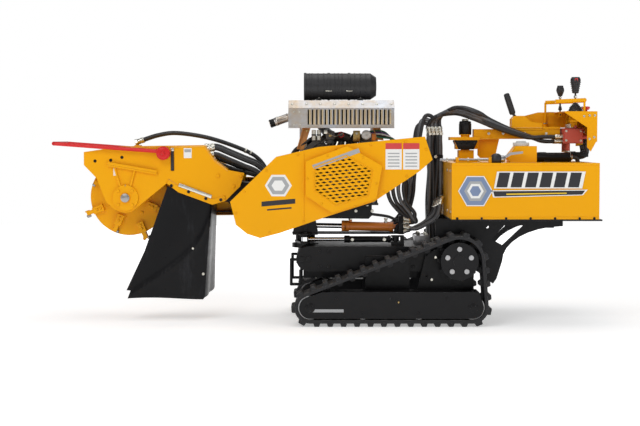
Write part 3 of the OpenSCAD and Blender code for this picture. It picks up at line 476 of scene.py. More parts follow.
def track_belt(side):
    low, high, middle = cad(f"track_belt_{side}")
    total, at = track_loop(side)
    lugs = round(total / LUG_PITCH)
    pitch = total / lugs
    belt = Piece(f"rubber_track_{side}", "track_rubber")

    def place(s, y, h):
        x, z, turn = at(s)
        return x + h * cos(turn), y, z + h * sin(turn)

    # the endless band, with rounded edges and two raised rails inside
    y0, y1, mid = low.y, high.y, middle.y
    rails = [(mid + side_y, h) for side_y, h in ((-70, 0), (-66, 3), (-34, 3), (-30, 0), (30, 0), (34, 3),
                                                 (66, 3), (70, 0))]
    section = [(y0, 5), (y0 + 3, 1), (y0 + 10, 0)] + rails + [
        (y1 - 10, 0), (y1 - 3, 1), (y1, 5), (y1, 15), (y1 - 4, 19), (y1 - 9, BELT_T), (y0 + 9, BELT_T),
        (y0 + 4, 19), (y0, 15)]
    stations = lugs * 5
    points = [place(total * k / stations, y, h) for k in range(stations) for y, h in section]
    belt.add(points, grid(stations, len(section), True))

    # tread bars: (place across the belt, half length at the foot, half length at the crown, height)
    bar = [(y0, 17, 9, 10), (y0 + 6, 19, 13, LUG_H), (mid - 16, 19, 13, LUG_H), (mid - 10, 17, 11, 11),
           (mid + 10, 17, 11, 11), (mid + 16, 19, 13, LUG_H), (y1 - 6, 19, 13, LUG_H), (y1, 17, 9, 10)]
    for k in range(lugs):
        s = (k + 0.5) * pitch
        points = []
        for y, foot, crown, h in bar:
            side_line = [(-foot, -3), (-crown, h - 2), (2.5 - crown, h),
                         (crown - 2.5, h), (crown, h - 2), (foot, -3)]
            points += [place(s + ds, y, BELT_T + dh) for ds, dh in side_line]
        belt.add(points, grid(len(bar), 6) + caps(len(bar), 6))
        # guide horns between the wheels' rims
        for y in (mid - 24, mid + 15):
            points = []
            for h, half, lean in ((3, 19, 0), (-12, 14, 1), (-20, 8, 2.5)):
                points += [place(s - half, y + lean, h), place(s + half, y + lean, h),
                           place(s + half, y + 9 - lean, h), place(s - half, y + 9 - lean, h)]
            belt.add(points, grid(3, 4) + caps(3, 4))
    belt.done("chassis", f"track_belt_{side}")


def track_side_parts(side, out):
    """Hub caps, bolts and a weld bead on one track frame, and the heads of its sprocket's bolts."""
    face = out * (abs(cad("track_frames")[0].y) + 0.2)
    parts = Piece(f"track_frame_fittings_{side}", "black_paint")
    for node in ("front_idler", "rear_idler"):
        hub = cad(f"{node}_{side}")[2]
        parts.lathe((hub.x, face, hub.z), (hub.x, face + out, hub.z),
                    [(0, 26), (1.5, 27), (3.2, 24), (3.6, 15), (5.6, 13), (6.2, 9)], None, 28)
        parts.bolts(circle(hub.x, hub.z, 19, 3, 30), face + out * 2.5, 4.5, None, False, out)
    for node in ("front_roller", "rear_roller"):
        hub = cad(f"{node}_{side}")[2]
        parts.bolts([(hub.x, hub.z)], face, 7, None, False, out)
    parts.bolts([(-290, 150), (0, 150), (300, 150)], face, 8, None, False, out)
    parts.bolts([(236, 372), (216, 253)], face, 8, "zinc", False, out)
    # grease valve cover and its plug
    parts.rod((40, face - out, 132), (40, face + out * 3, 132), 15, None, 24, 0.8)
    parts.bolts([(40, 132)], face + out * 3, 5, "brass", False, out)
    parts.weld([(-360, face - out * 3, 184), (462, face - out * 3, 184)], 2.2, "black_weld")
    # blank name strip
    parts.pane(-436, 78, -252, 94, face if out > 0 else face - 0.6, 0.6, "grey_label")
    parts.done("chassis")
    hub = cad(f"sprocket_{side}")[2]
    hub_face = out * 441.8
    heads = Piece(f"sprocket_bolts_{side}", "bare_steel")
    for x, z in circle(hub.x, hub.z, 66, 5, 18):
        heads.lathe((x, hub_face, z), (x, hub_face + out, z), [(0, 13.6), (8.0, 13.6), (8.9, 12.6)])
    heads.done(f"{side}_sprocket")


for side, out in SIDES:
    track_belt(side)
    track_side_parts(side, out)


# ---------------- chassis

def chassis_fittings():
    belly = cad("chassis_frame")[0].z
    parts = Piece("chassis_fittings", "black_paint")
    for out in (-1, 1):
        y = out * 240
        parts.bolts([(x, z) for x in (-380, -330, 130) for z in (388, 304)], y, 9, None, out=out)
        parts.weld([(-130, y + out * 2, 362), (108, y + out * 2, 362)], 3, "black_weld")
        # pad where the loop is welded on
        parts.pane(-508, 321, -486, 357, out * 190 - 22, 44, None, 2)
    # cover plate and bolts on the belly tray
    parts.box((-420, -120, belly - 2.5), (130, 120, belly + 1), None, 1)
    for x in range(-400, 121, 86):
        for y in (-108, 108):
            parts.bolt((x, y, belly - 2.4), (0, 0, -1), 5, "zinc", False)
    # hydraulic manifold and fittings on top of the chassis, behind the swing frame
    parts.box((150, -70, 414), (236, 70, 462), "bare_steel", 2.5)
    for y in (-51, -17, 17, 51):
        parts.rod((172, y, 462), (172, y, 480), 9, "zinc", 6)
        parts.rod((214, y, 462), (214, y, 476), 8, "zinc", 16)
    parts.done("chassis")


def motor_fittings():
    """Port blocks and bolts on the two drive motors."""
    motor = cad("drive_motors")[2]
    parts = Piece("drive_motor_ports", "bare_steel")
    for out in (-1, 1):
        parts.bolts(circle(motor.x, motor.z, 66, 8), out * 264, 7, "zinc", False, -out)
        near, far = sorted((out * 196, out * 230))
        parts.box((motor.x - 30, near, motor.z - 74), (motor.x + 30, far, motor.z - 48), None, 3)
        for dx in (-16, 16):
            parts.rod((motor.x + dx, out * 213, motor.z - 74), (motor.x + dx, out * 213, motor.z - 88), 8, "zinc", 6)
    parts.done("chassis")


chassis_fittings()
motor_fittings()


# ---------------- belt guard

GUARD_EDGE = [(-858, 666), (-612, 905), (-388, 957), (181, 1013), (222, 890), (155, 830),
              (-90, 666), (-328, 591), (-591, 499), (-698, 471), (-768, 494), (-826, 541)]
VENT = [(-402, 846), (-238, 906), (-105, 831), (-127, 705), (-290, 653), (-402, 727)]
PAN_DEPTH = 30          # of the guard's flat pan behind its raised vent
LABEL_T = 0.7


def inset(outline, by):
    """The outline moved inwards by a distance."""
    moved = []
    sign = 1 if sum(a[0] * b[1] - b[0] * a[1] for a, b in pairs(outline)) > 0 else -1
    for before, here, after in zip(outline[-1:] + outline[:-1], outline, outline[1:] + outline[:1]):
        into = Vector((here[0] - before[0], here[1] - before[1])).normalized()
        away = Vector((after[0] - here[0], after[1] - here[1])).normalized()
        n1, n2 = Vector((-into.y, into.x)) * sign, Vector((-away.y, away.x)) * sign
        middle = (n1 + n2).normalized()
        step = middle * (by / max(0.3, middle.dot(n1)))
        moved.append((here[0] + step.x, here[1] + step.y))
    return moved


def along(outline, spacing):
    """Points spaced out along each side of a closed outline, away from its corners."""
    for a, b in pairs(outline):
        count = round(hypot(b[0] - a[0], b[1] - a[1]) / spacing)
        for k in range(count):
            share = (k + 0.5) / count
            yield a[0] + (b[0] - a[0]) * share, a[1] + (b[1] - a[1]) * share


def guard_fittings():
    raised = cad("belt_guard")[0].y
    pan = raised + PAN_DEPTH
    parts = Piece("belt_guard_fittings", "yellow_paint")
    parts.bolts(along(inset(GUARD_EDGE, 16), 190), pan, 6, None)
    parts.bolts(along(inset(VENT, -40), 170), raised, 5, None)
    # rolled bead round the vent and a rib along the fold of the pan
    bead = [(a[0] + (b[0] - a[0]) * k / 6, raised - 0.5, a[1] + (b[1] - a[1]) * k / 6)
            for a, b in pairs(inset(VENT, -6)) for k in range(6)]
    parts.tube(bead, 3.2, None, 8, closed=True)
    parts.tube([(-462, pan - 0.5, 930), (-462, pan - 0.5, 548)], 2.6, None, 8)
    parts.done("boom")

    marks = Piece("belt_guard_labels", "grey_plastic")

    def layer(outline, depth, look):
        marks.slab(outline, pan - depth * LABEL_T, LABEL_T, look)

    # a thin grey label strip on the raised face above the vent; it also stands for the light its raised edge catches,
    # a painted highlight
    marks.slab([(-420, 861), (-410, 839), (-165, 929), (-175, 951)], raised - LABEL_T, LABEL_T, "grey_label")
    # two blank instruction panels under a plain red header
    for x in (-29, 65):
        marks.pane(x, 838, x + 86, 978, pan - LABEL_T, LABEL_T, "white_label")
        marks.pane(x, 946, x + 86, 978, pan - 2 * LABEL_T, LABEL_T, "red_label")
        for z in range(852, 921, 17):
            marks.pane(x + 12, z, x + 74, z + 6, pan - 1.6, 0.9, "grey_label")
    # plain badge: a grey hexagon over a dark bar
    badge = [(-600 + 72 * cos(radians(60 * k)), 752 + 66 * sin(radians(60 * k))) for k in range(6)]
    layer(badge, 1, "white_label")
    layer(inset(badge, 11), 2, "grey_label")
    layer(inset(badge, 30), 3, "white_label")
    layer([(-690, 640), (-510, 656), (-510, 682), (-690, 666)], 1, "dark_label")
    layer([(-660, 618), (-530, 629), (-530, 637), (-660, 626)], 1, "dark_label")
    marks.done("boom")


def crossing(outline, level, axis):
    """Where a straight line at a level cuts a convex outline: the lowest and highest of the other axis."""
    hits = [a[1 - axis] + (level - a[axis]) / (b[axis] - a[axis]) * (b[1 - axis] - a[1 - axis])
            for a, b in pairs(outline) if (a[axis] - level) * (b[axis] - level) < 0]
    return (min(hits), max(hits)) if len(hits) > 1 else ()


def vent_screen():
    """A dark wire screen behind the vent's openings."""
    screen = Piece("vent_screen", "black_paint")
    y = cad("belt_guard")[0].y + 8
    mesh_step = 12
    area = inset(VENT, 6)
    for axis in (0, 1):
        low, high = min(p[axis] for p in area), max(p[axis] for p in area)
        for k in range(1, int((high - low) / mesh_step) + 1):
            level = low + mesh_step * k
            ends = [(v, y + 3, level) if axis else (level, y, v) for v in crossing(area, level, axis)]
            if ends:
                screen.tube(ends, 2.6, None, 5)
    screen.done("boom")


guard_fittings()
vent_screen()


# ---------------- head and cutter

CUTTER = Vector((-1441, -50, 679))
NEAR_PLATE = -208       # y of the head's near face
TEETH = 8


def head_fittings():
    near = NEAR_PLATE
    parts = Piece("boom_head_fittings", "yellow_paint")
    # painted shade: near-black discs sunk in the three holes of the near plate, where their depth falls in shade
    for x, z in ((-1607, 880), (-1521, 884), (-1460, 900)):
        parts.rod((x, near + 3, z), (x, near + 11, z), 8.9, "painted_hole_shade", 20)
    parts.bolts([(-851, 741), (-812, 800), (-935, 800), (-905, 682)], near, 10, None)
    parts.bolts([(-1190, 745), (-1096, 712), (-1002, 675), (-920, 668)], near - 6, 8, "black_paint")
    # clamp bar of the chip curtain, in pale zinc; its pale strip is partly a painted highlight along the stiffener
    parts.slab([(-1152, 742), (-974, 676), (-968, 693), (-1146, 759)], near - 10, 4, "zinc", 1)
    # weld beads: along the top skin, the rear skin and the stiffener
    for proud, line in ((0.5, [(-1537, 951), (-1008, 959)]), (0.5, [(-1008, 959), (-955, 881), (-884, 827)]),
                        (1, [(-1206, 780), (-1146, 740), (-967, 674)])):
        parts.weld([(x, near - proud, z) for x, z in line], 3)
    # overhanging flange across the near plate, with its shadow gap
    parts.slab([(-1538, 852), (-1268, 806), (-1268, 816), (-1538, 862)], near - 16, 17, None, 2)
    parts.slab([(-1538, 862), (-1268, 816), (-1268, 830), (-1536, 876)], near - 18, 4, None, 1.5)
    # ribs from the flange to the wheel's bearing
    for x0, z0, x1, z1 in ((-1500, 846, -1470, 744), (-1390, 828, -1412, 744)):
        parts.slab([(x0 - 5, z0), (x0 + 5, z0), (x1 + 5, z1), (x1 - 5, z1)], near - 12, 13, None, 1.5)
    # grease nipple of the bearing, and a black keeper with a bright head in the plate's slot
    parts.rod((-1441, near - 12, 742), (-1441, near - 12, 752), 3.5, "brass", 6)
    parts.box((-1192, near - 5, 828), (-1176, near - 0.3, 934), "black_plastic", 2)
    parts.box((-1193, near - 6, 934), (-1175, near - 0.3, 950), "zinc", 2)
    # eye for the hoses on the head's top
    parts.box((-1420, 8, 952), (-1386, 88, 966), None, 3)
    parts.done("boom")

    marks = Piece("boom_head_labels", "grey_plastic")
    marks.pane(-1122, 896, -1079, 950, near - LABEL_T, LABEL_T, "white_label")
    marks.pane(-1507, 800, -1492, 842, near - LABEL_T, LABEL_T, "white_label")
    marks.pane(-1118, 928, -1083, 944, near - 2 * LABEL_T, LABEL_T, "grey_label")
    marks.done("boom")


def cutter_details():
    """Bolts on the disc, and a carbide tip and clamp bolts on every tooth."""
    parts = Piece("cutter_tips", "carbide_steel")
    x, y, z = CUTTER
    for k in range(TEETH):
        turn = radians(-(158.1 + 360 / TEETH * k))
        far = 262 - 45 * (k % 2)
        ray = Vector((cos(turn), 0, sin(turn)))
        side = Vector((-sin(turn), 0, cos(turn)))
        for face in (-1, 1):
            mid = Vector((x, y + face * 21, z))
            tip = mid + ray * (far - 4)
            parts.lathe(tip - ray * 16 + side * 15, tip + side * 17, [(0, 8.5), (10, 9), (15, 7.5), (17, 4)], None, 14)
            for r in (far - 92, far - 72):
                parts.bolt(mid + ray * r + Vector((0, face * 13, 0)), (0, face, 0), 7, "yellow_paint")
    for face in (-1, 1):
        parts.bolts(circle(x, z, 112, 7), y + face * 8, 9, "yellow_paint", out=face)
        parts.bolts(circle(x, z, 44, 6, 30), y + face * 42, 8, "yellow_paint", out=face)
    parts.lathe((x, -234.2, z), (x, -235, z), [(0, 24), (1.5, 24), (3, 21), (4, 0.5)], None, 28)
    parts.done("cutter")


def guard_bar_details():
    low, high, middle = cad("guard_bar")
    parts = Piece("guard_bar_fittings", "red_paint")
    x, z = -1231, 923
    for y, out in ((low.y, -1), (high.y, 1)):
        parts.lathe((x, y, z), (x, y + out, z), [(0, 30), (1.2, 30), (2, 29), (2.2, 20)], None, 28)
        parts.bolts([(x, z)], y + out * 1.5, 11, None, out=out)
        parts.weld([(x - 36, y - out * 20, z + 22), (x - 40, y - out * 28, z + 10), (x - 36, y - out * 20, z - 4)],
                   2.5, "red_paint")
    # plastic sleeve at the far end of the bar, where a hand takes it
    sleeve = [(-1826, y, 975) for y in (low.y + 40, middle.y, high.y - 40)]
    parts.tube(spline(sleeve, 10), 11, "red_plastic", 20)
    parts.done("bar")


head_fittings()
cutter_details()
guard_bar_details()


# ---------------- chip curtain

NEAR_SHARE = 0.62       # of the curtain's width, on its near panel
CURTAIN_T = 8


def curtain_point(u, v, depth):
    """u runs from the front edge of the near panel round the corner to the far edge, v from top to foot."""
    near_y, far_y = -194, 148
    if u < NEAR_SHARE:
        share = u / NEAR_SHARE
        top_x, foot_x = -1213 + 239 * share, -1436 + 424 * share
        top_z = 742 - 100 * share
        crease = share - 1.02 + 1.05 * v - 0.25 * sin(pi * v)
        fold = exp(-(crease / 0.035) ** 2)
        beyond = 1 / (1 + exp(-crease / 0.03))
        return (top_x + (foot_x - top_x) * v,
                near_y - 9 * fold - 5 * beyond * sin(pi * v) + 3.5 * sin(8 * share + 2 * v) * v + depth,
                top_z + (124 + 5 * sin(5 * share) - top_z) * v)
    share = (u - NEAR_SHARE) / (1 - NEAR_SHARE)
    bulge = 4.5 * sin(pi * share * 3) * v
    round_off = 6 * exp(-share * 14)
    return (-968 - 38 * v + bulge - round_off + 24 * share * v - depth, near_y + (far_y - near_y) * share,
            642 + (130 + 24 * share - 642) * v + 3 * sin(7 * share) * v)


def curtain():
    """A heavy rubber sheet that hangs from the head, wraps its rear corner and creases as it falls."""
    flap = Piece("rubber_curtain", "flap_rubber")
    columns, rows, wrap = 46, 36, 13
    stations = [k / columns * NEAR_SHARE for k in range(columns)]
    stations += [NEAR_SHARE + (1 - NEAR_SHARE) * k / wrap for k in range(wrap + 1)]
    n, m = len(stations), rows + 1
    points = [curtain_point(u, j / rows, d) for d in (0, CURTAIN_T) for u in stations for j in range(m)]
    side = n * m
    faces = []
    for a in [i * m + j for i in range(n - 1) for j in range(rows)]:
        faces += [(a, a + m, a + m + 1, a + 1), (side + a, side + a + 1, side + a + m + 1, side + a + m)]
    for j in range(rows):
        a, b = j, (n - 1) * m + j
        faces += [(a, a + 1, side + a + 1, side + a), (b, side + b, side + b + 1, b + 1)]
    for i in range(n - 1):
        a, b = i * m, i * m + rows
        faces += [(a, side + a, side + a + m, a + m), (b, b + m, side + b + m, side + b)]
    flap.add(points, faces)
    flap.done("boom", "chip_curtain")

    backing = Piece("curtain_backing", "flap_rubber")
    backing.slab([(-1190, 712), (-1040, 668), (-1080, 140), (-1444, 168)], -183, 6, None, 1.5)
    backing.bolts([(-1075, 400), (-1019, 260)], -198, 7)
    backing.done("boom")


curtain()


# ---------------- engine

CRANK = (-255, 775)
BANK_TILT = radians(42)
WIRES = ("green_wire", "purple_wire", "white_plastic", "black_plastic", "green_wire")


def on_bank(side, x, y, z):
    """A point given in a cylinder bank's own frame, with z along its bores."""
    a = side * BANK_TILT
    return Vector((CRANK[0] + x * cos(a) + z * sin(a), y, CRANK[1] - x * sin(a) + z * cos(a)))


def engine_bank(parts, side):
    """Rocker cover, spark plug and lead, push-rod tubes and intake runner of one bank."""
    def at(x, y, z):
        return on_bank(side, x, y, z)

    parts.box((-56, -100, 267), (56, -12, 286), "black_paint", 6, at)
    parts.box((-44, -88, 285), (44, -24, 291), "black_paint", 3, at)
    outward = at(0, 0, 1) - at(0, 0, 0)
    for x in (-48, 48):
        for y in (-92, -20):
            parts.bolt(at(x, y, 286), outward, 6)
    plug = at(34 * side, -158, 216)
    parts.rod(plug, plug + Vector((0, -22, 0)), 8, "white_plastic", 16, 2)
    parts.rod(plug + Vector((0, -18, 0)), plug + Vector((0, -44, 0)), 11, "black_plastic", 18, 4)
    parts.pipe([plug + Vector((0, -40, 0)), plug + Vector((-20 * side, -52, 50)),
                plug + Vector((-70 * side, -50, 60)), (CRANK[0] + 20 * side, -150, 900)], 4, "black_plastic", 8)
    for x in (-18, 18):
        parts.tube([at(x - 74 * side, -60, 96), at(x - 60 * side, -60, 238)], 8, "zinc", 12)
    parts.pipe([at(-60 * side, -80, 236), at(-110 * side, -84, 236), (CRANK[0] + 40 * side, -86, 968),
                (CRANK[0], -88, 984)], 17, None, 16)


def engine_details():
    parts = Piece("engine_details", "engine_alloy")
    for side in (-1, 1):
        engine_bank(parts, side)
    # cover over the valley between the banks
    parts.slab([(-372, 868), (-138, 868), (-150, 930), (-206, 1000), (-312, 1000), (-360, 930)], -104, 170,
               "black_plastic", 8)
    for k in range(6):
        foot, top = -352 + 36 * k, -342 + 30 * k
        parts.slab([(foot, 880), (foot + 12, 880), (top + 12, 980), (top, 980)], -110, 8, "black_plastic", 2)
    # carburettor and its bowl, linkage and choke lever
    parts.box((-346, -176, 996), (-298, -120, 1044), None, 5)
    parts.rod((-322, -148, 972), (-322, -148, 998), 22, None, 24, 4)
    parts.bolt((-322, -176, 1020), (0, -1, 0), 8, "brass")
    parts.tube([(-350, -182, 1040), (-296, -182, 1012), (-250, -180, 1030)], 2.6, "zinc", 8)
    parts.box((-356, -186, 1028), (-338, -180, 1052), "zinc", 1)
    # manifold with its plug
    parts.pipe([(-298, -110, 1014), (-258, -112, 1018), (-214, -108, 1004)], 21, None, 18)
    parts.rod((-262, -152, 1024), (-262, -118, 1024), 17, "red_plastic", 20, 3)
    parts.rod((-262, -158, 1024), (-262, -152, 1024), 11, None, 20, 2)
    # ignition modules and a fuel filter
    for x in (-412, -384):
        parts.rod((x, -166, 992), (x, -166, 1050), 11.5, "zinc", 20, 2)
        parts.rod((x, -166, 1018), (x, -166, 1026), 12.6, "black_plastic", 20, 1)
    parts.box((-196, -176, 986), (-158, -128, 1046), "brass", 4)
    parts.bolt((-177, -176, 1030), (0, -1, 0), 6)
    parts.lathe((-124, -190, 1022), (-124, -120, 1022), [(0, 16), (3, 23), (8, 26), (34, 27), (62, 26), (70, 20)],
                "white_plastic", 28)
    parts.rod((-124, -196, 1022), (-124, -190, 1022), 5, "zinc", 6)
    parts.box((-94, -172, 992), (-72, -150, 1030), "orange_paint", 3)
    # wiring that leaves to the right
    for k, name in enumerate(WIRES):
        parts.pipe([(-120 + 8 * k, -150 - 4 * k, 1040 - 6 * k), (-40, -166, 1044 - 9 * k),
                    (4 + 7 * k, -160, 1012 - 4 * k), (14 + 4 * k, -150, 960), (20, -140, 900)], 4.2, name, 8)
    # pipes behind the guard's upper left edge
    for k in range(3):
        y = -150 + 22 * k
        parts.pipe([(-430, y, 1000), (-470, y, 972 - 6 * k), (-520, y + 10, 936 - 8 * k), (-560, y + 30, 860)],
                   8 + 2 * (k == 1), "hose_rubber")
    # fuel rail and clutter between the banks
    for k in range(4):
        parts.pipe([(-340 + 30 * k, -190, 880), (-330 + 28 * k, -196, 930), (-300 + 20 * k, -186, 985)],
                   4 + k % 2, "zinc" if k % 2 else "black_plastic", 8)
    parts.done("boom")


def engine_far_side():
    """Blower screen, starter, oil filter and sump details, seen from the far side and from behind."""
    parts = Piece("engine_blower", "black_paint")
    x, z, y = CRANK[0], CRANK[1] + 20, cad("engine")[1].y
    for r in range(24, 101, 13):
        parts.hoop((x, y + 1, z), r, 30, 2, "zinc", 6, False)
    for inner, outer in zip(circle(x, z, 12, 12), circle(x, z, 104, 12)):
        parts.tube([(a, y + 1, b) for a, b in (inner, outer)], 2, "zinc", 6)
    parts.rod((x, y - 2, z), (x, y + 4, z), 14, "zinc", 24)
    parts.bolts(circle(x, z, 126, 8, 22), 200, 7, out=1)
    parts.rod((-90, 20, 720), (-90, 115, 720), 34, None, 28, 4)
    parts.rod((-90, 115, 720), (-90, 150, 720), 20, "zinc", 20, 3)
    parts.lathe((-420, -30, 740), (-330, -30, 740), [(0, 30), (4, 36), (60, 37), (76, 30), (90, 26)],
                "white_plastic", 32)
    for a, b in circle(-30, 740, 36, 10):
        parts.tube([(-416, a, b), (-364, a, b)], 1.6, "white_plastic", 6)
    parts.pipe([(-380, 90, 868), (-392, 96, 905), (-400, 90, 948)], 6, "zinc", 10)
    parts.rod((-402, 89, 944), (-402, 89, 962), 9, "red_plastic", 16, 3)
    parts.bolts([(-360 + 42 * k, z) for k in range(6) for z in (690, 846)], 120, 6, out=1)
    # cooling ribs on the crankcase
    for k in range(9):
        for x0, x1 in ((-386, -390), (-124, -120)):
            parts.box((x0, -200 + 34 * k, 664), (x1, -194 + 34 * k, 850), "engine_alloy", 1.2)
    parts.done("boom")


def heat_shield():
    parts = Piece("heat_shield_fittings", "aluminised")
    x0, x1, face = -550, 26, -235
    # painted shade: a near-black plate behind the louvres, so the slots read dark as if in shade
    parts.pane(x0 + 8, 1070, x1 - 8, 1162, -222, 2, "painted_hole_shade")
    # rolled lower lip, seam and rivets
    parts.tube([(x0, face, 1062), (x1, face, 1062)], 3, None, 10)
    parts.tube([(x0, face, 1167), (x1, face, 1167)], 1.6, None, 8)
    for x in range(x0 + 20, x1, 77):
        parts.lathe((x, -212, 1189.5), (x, -214, 1191.5), [(0, 7), (1.5, 6), (3, 3)], "zinc", 16)
    parts.bolts([(x, z) for x in (x0 + 30, x0 + 62, x1 - 20) for z in (1146, 1078)], face, 5)
    # louvre lips beside each slot
    for k in range(20):
        x = x0 + 105 + 23 * k
        parts.slab([(x + 8, 1080), (x + 17, 1078), (x + 17, 1160), (x + 8, 1158)], -238.5, 4, "louvre_tan", 0.8)
    # painted brackets over the silencer's feet
    for top, foot, low in ((-472, -506, 944), (-88, -66, 996)):
        parts.slab([(foot, low), (foot + 38, low - 4), (top + 42, 1060), (top - 2, 1060)], -156, 5, "tan_paint", 1)
        parts.slab([(foot, low), (foot + 5, low), (top + 5, 1060), (top, 1060)], -170, 16, "tan_paint", 1)
        parts.bolt((top + 22, -156, 1046), (0, -1, 0), 7, "brass")
    parts.pane(-508, 1061, -60, 1068, -172, 30, "tan_paint", 1)
    # tail pipe: bright sleeve, clamp and rolled end
    start, end = Vector((-552, -125, 1118.6)), Vector((-652, -125, 1083.1))
    run = (end - start).normalized()
    parts.lathe(start, end, [(0, 24), (4, 24.5), (6, 22.6), (60, 22.6), (62, 24), (72, 24), (74, 22.6), (80, 22.6)],
                None, 28)
    parts.lathe(start + run * 80, end, [(0, 22.4), (18, 22.4), (22, 23.4), (26, 22.8)], "black_paint", 28)
    clamp = start + run * 66
    parts.rod(clamp + Vector((0, -26, 6)), clamp + Vector((0, -30, 26)), 3.4, "zinc", 10)
    parts.done("boom")


def air_cleaner_details():
    parts = Piece("air_cleaner_fittings", "black_plastic")
    y, z = cad("air_cleaner")[2].y, 1290
    for x in (-440, -424, -392, -360, -300, -280, -260, -190, -160, -130):
        parts.lathe((x, y, z), (x + 7, y, z), [(0, 72.6), (1.5, 74.4), (5.5, 74.4), (7, 72.6)], None, 48)
    # wire clips on the lid
    for x in (-331, -218):
        for turn in (200, 330, 40):
            out = Vector((0, cos(radians(turn)), sin(radians(turn))))
            at = Vector((x, y, z)) + out * 75
            parts.tube([at - Vector((16, 0, 0)) + out, at + out * 5, at + Vector((18, 0, 0)) + out], 2.6, "zinc", 8)
    parts.lathe((-70, y, z), (-66, y, z), [(0, 30), (2, 30), (4, 24)], None, 32)
    # bolts of the strap's feet
    for x in (-385, -155):
        for dy in (-34, 34):
            parts.bolt((x, y + dy, 1225), (0, 0, 1), 6)
    # duct to the carburettor on the far side
    parts.pipe([(-430, y + 40, 1250), (-430, y + 92, 1225), (-420, y + 108, 1150), (-350, y + 96, 1050),
                (-300, y + 20, 1010)], 26, "hose_rubber", 20)
    parts.done("boom")


engine_details()
engine_far_side()
heat_shield()
air_cleaner_details()


# ---------------- belts behind the guards

def drive_belts():
    """V-belts on the pulleys' centres."""
    parts = Piece("v_belts", "belt_rubber")
    arc_steps = 24
    jack, pump, wheel = (-662, 673), (115, 925), (CUTTER.x, CUTTER.z)
    for a, ra, b, rb, y, count in ((jack, 113, CRANK, 100, -379, 2), (pump, 43, CRANK, 100, -349, 1),
                                   (jack, 85, wheel, 100, 179, 3)):
        base = atan2(b[1] - a[1], b[0] - a[0])
        lean = acos((ra - rb) / hypot(b[0] - a[0], b[1] - a[1]))
        loop = []
        for (x, z), r, first, swing in ((a, ra, base + lean, 2 * pi - 2 * lean), (b, rb, base - lean, 2 * lean)):
            turns = [first + swing * k / arc_steps for k in range(arc_steps + 1)]
            loop += [(x + r * cos(t), z + r * sin(t)) for t in turns]
        for k in range(count):
            parts.tube([(x, y + 11 * k, z) for x, z in loop], 4.6, None, 7, closed=True)
    parts.done("boom", "drive_belts")


def far_cover_details():
    """Edge bolts, a pressed bead and a blank label on the far belt guard."""
    parts = Piece("far_cover_fittings", "yellow_paint")
    face = cad("far_belt_cover")[1].y
    left, right, z, radius = -1441, -677, 679, 96
    bead = circle(left, z, radius - 18, 16, 90, 192) + circle(right, z, radius - 18, 16, -90, 192)
    parts.tube([(a, face, b) for a, b in bead], 3, None, 8, closed=True)
    edge = radius - 4
    parts.bolts([(x, z + s * edge) for x in (-1400, -1230, -1060, -890, -720) for s in (-1, 1)]
                + [(left - edge, z), (right + edge, z)], face, 7, out=1)
    parts.box((-1110, face, 650), (-1010, face + 0.8, 712), "white_label", 0)
    parts.box((-1110, face + 0.7, 694), (-1010, face + 1.5, 712), "red_label", 0)
    for low in (660, 670, 680):
        parts.box((-1100, face + 0.7, low), (-1020, face + 1.3, low + 3), "grey_label", 0)
    parts.done("boom")


drive_belts()
far_cover_details()


# ---------------- boom underside and deck

def deck_details():
    parts = Piece("deck_details", "black_paint")
    # drain and mount at the deck's right end, bolts round the deck's edge
    parts.box((-73, -150, 652), (-62, -60, 702), None, 2)
    parts.rod((-104, -210, 652), (-104, -210, 706), 16, "black_plastic", 20, 3)
    parts.rod((-104, -210, 706), (-104, -210, 716), 8, "zinc", 6)
    for s in (-1, 1):
        for x in (-390, -300, -210, -120):
            parts.bolt((x, s * 222, 640), (0, 0, -1), 8)
            parts.bolt((x + 30, s * 146, 604), (0, s, 0), 8)
        parts.weld([(-400, s * 148, 640), (-96, s * 148, 640)], 3, "black_weld")
        parts.weld([(-1060, s * 148, 716), (-972, s * 148, 660)], 3, "black_weld")
    parts.done("boom")


# ---------------- hydraulic hoses

# the lighter grey rubber on some hoses is partly painted sheen
def rubber(grey):
    return "grey_sheen_hose" if grey else "hose_rubber"


def boom_hoses():
    """Two hoses that arch from the cutter head to the belt guard, and a bundle that runs lower."""
    arch = [(-1404, 985), (-1290, 1022), (-1179, 1034), (-1000, 1006), (-821, 945), (-732, 896), (-682, 830),
            (-668, 752)]
    parts = Piece("boom_hose_pair", "hose_rubber")
    for k, y in enumerate((30, 66)):
        line = [(x, y + 4 * sin(i * 1.7 + k), z - 2 * k) for i, (x, z) in enumerate(arch)]
        path = parts.hose(line, 11.5, steps=10)
        # crimped joint half way
        at = len(path) * 3 // 5
        for step in (at, at + 3):
            parts.ring(path[step], path[step + 1] - path[step], 12)
    parts.box((-700, 10, 744), (-636, 86, 752), "black_paint", 2)
    # a hose and a wire loom on the beam's top
    parts.hose([(-1090, -70, 930), (-1030, -64, 905), (-940, -60, 862), (-840, -58, 826), (-740, -60, 800),
                (-672, -64, 768), (-656, -64, 746)], 12)
    parts.hose([(-1090, -30, 936), (-1020, -28, 918), (-920, -26, 880), (-820, -24, 842), (-720, -24, 806),
                (-664, -30, 772), (-650, -30, 746)], 12, "black_plastic")
    for y, rise, r in ((-122, -34, 13), (-98, 0, 14), (-48, 12, 12), (-8, 6, 14)):
        line = [(x, y, z + rise) for x, z in ((-1004, 946), (-950, 950), (-880, 922), (-800, 888), (-730, 858),
                                              (-682, 812))]
        parts.hose(line + [(-664, y, 746)], r)
        parts.ring((-978, y, 950 + rise), (1, 0, 0.1), r)
    for k in range(5):
        place = Vector((-1090, -50, 933)).lerp(Vector((-650, -50, 782)), 0.18 + 0.16 * k)
        parts.box(place + Vector((-5, -36, -6)), place + Vector((5, 40, 10)), "black_paint", 2)
    parts.done("boom", "boom_hoses")


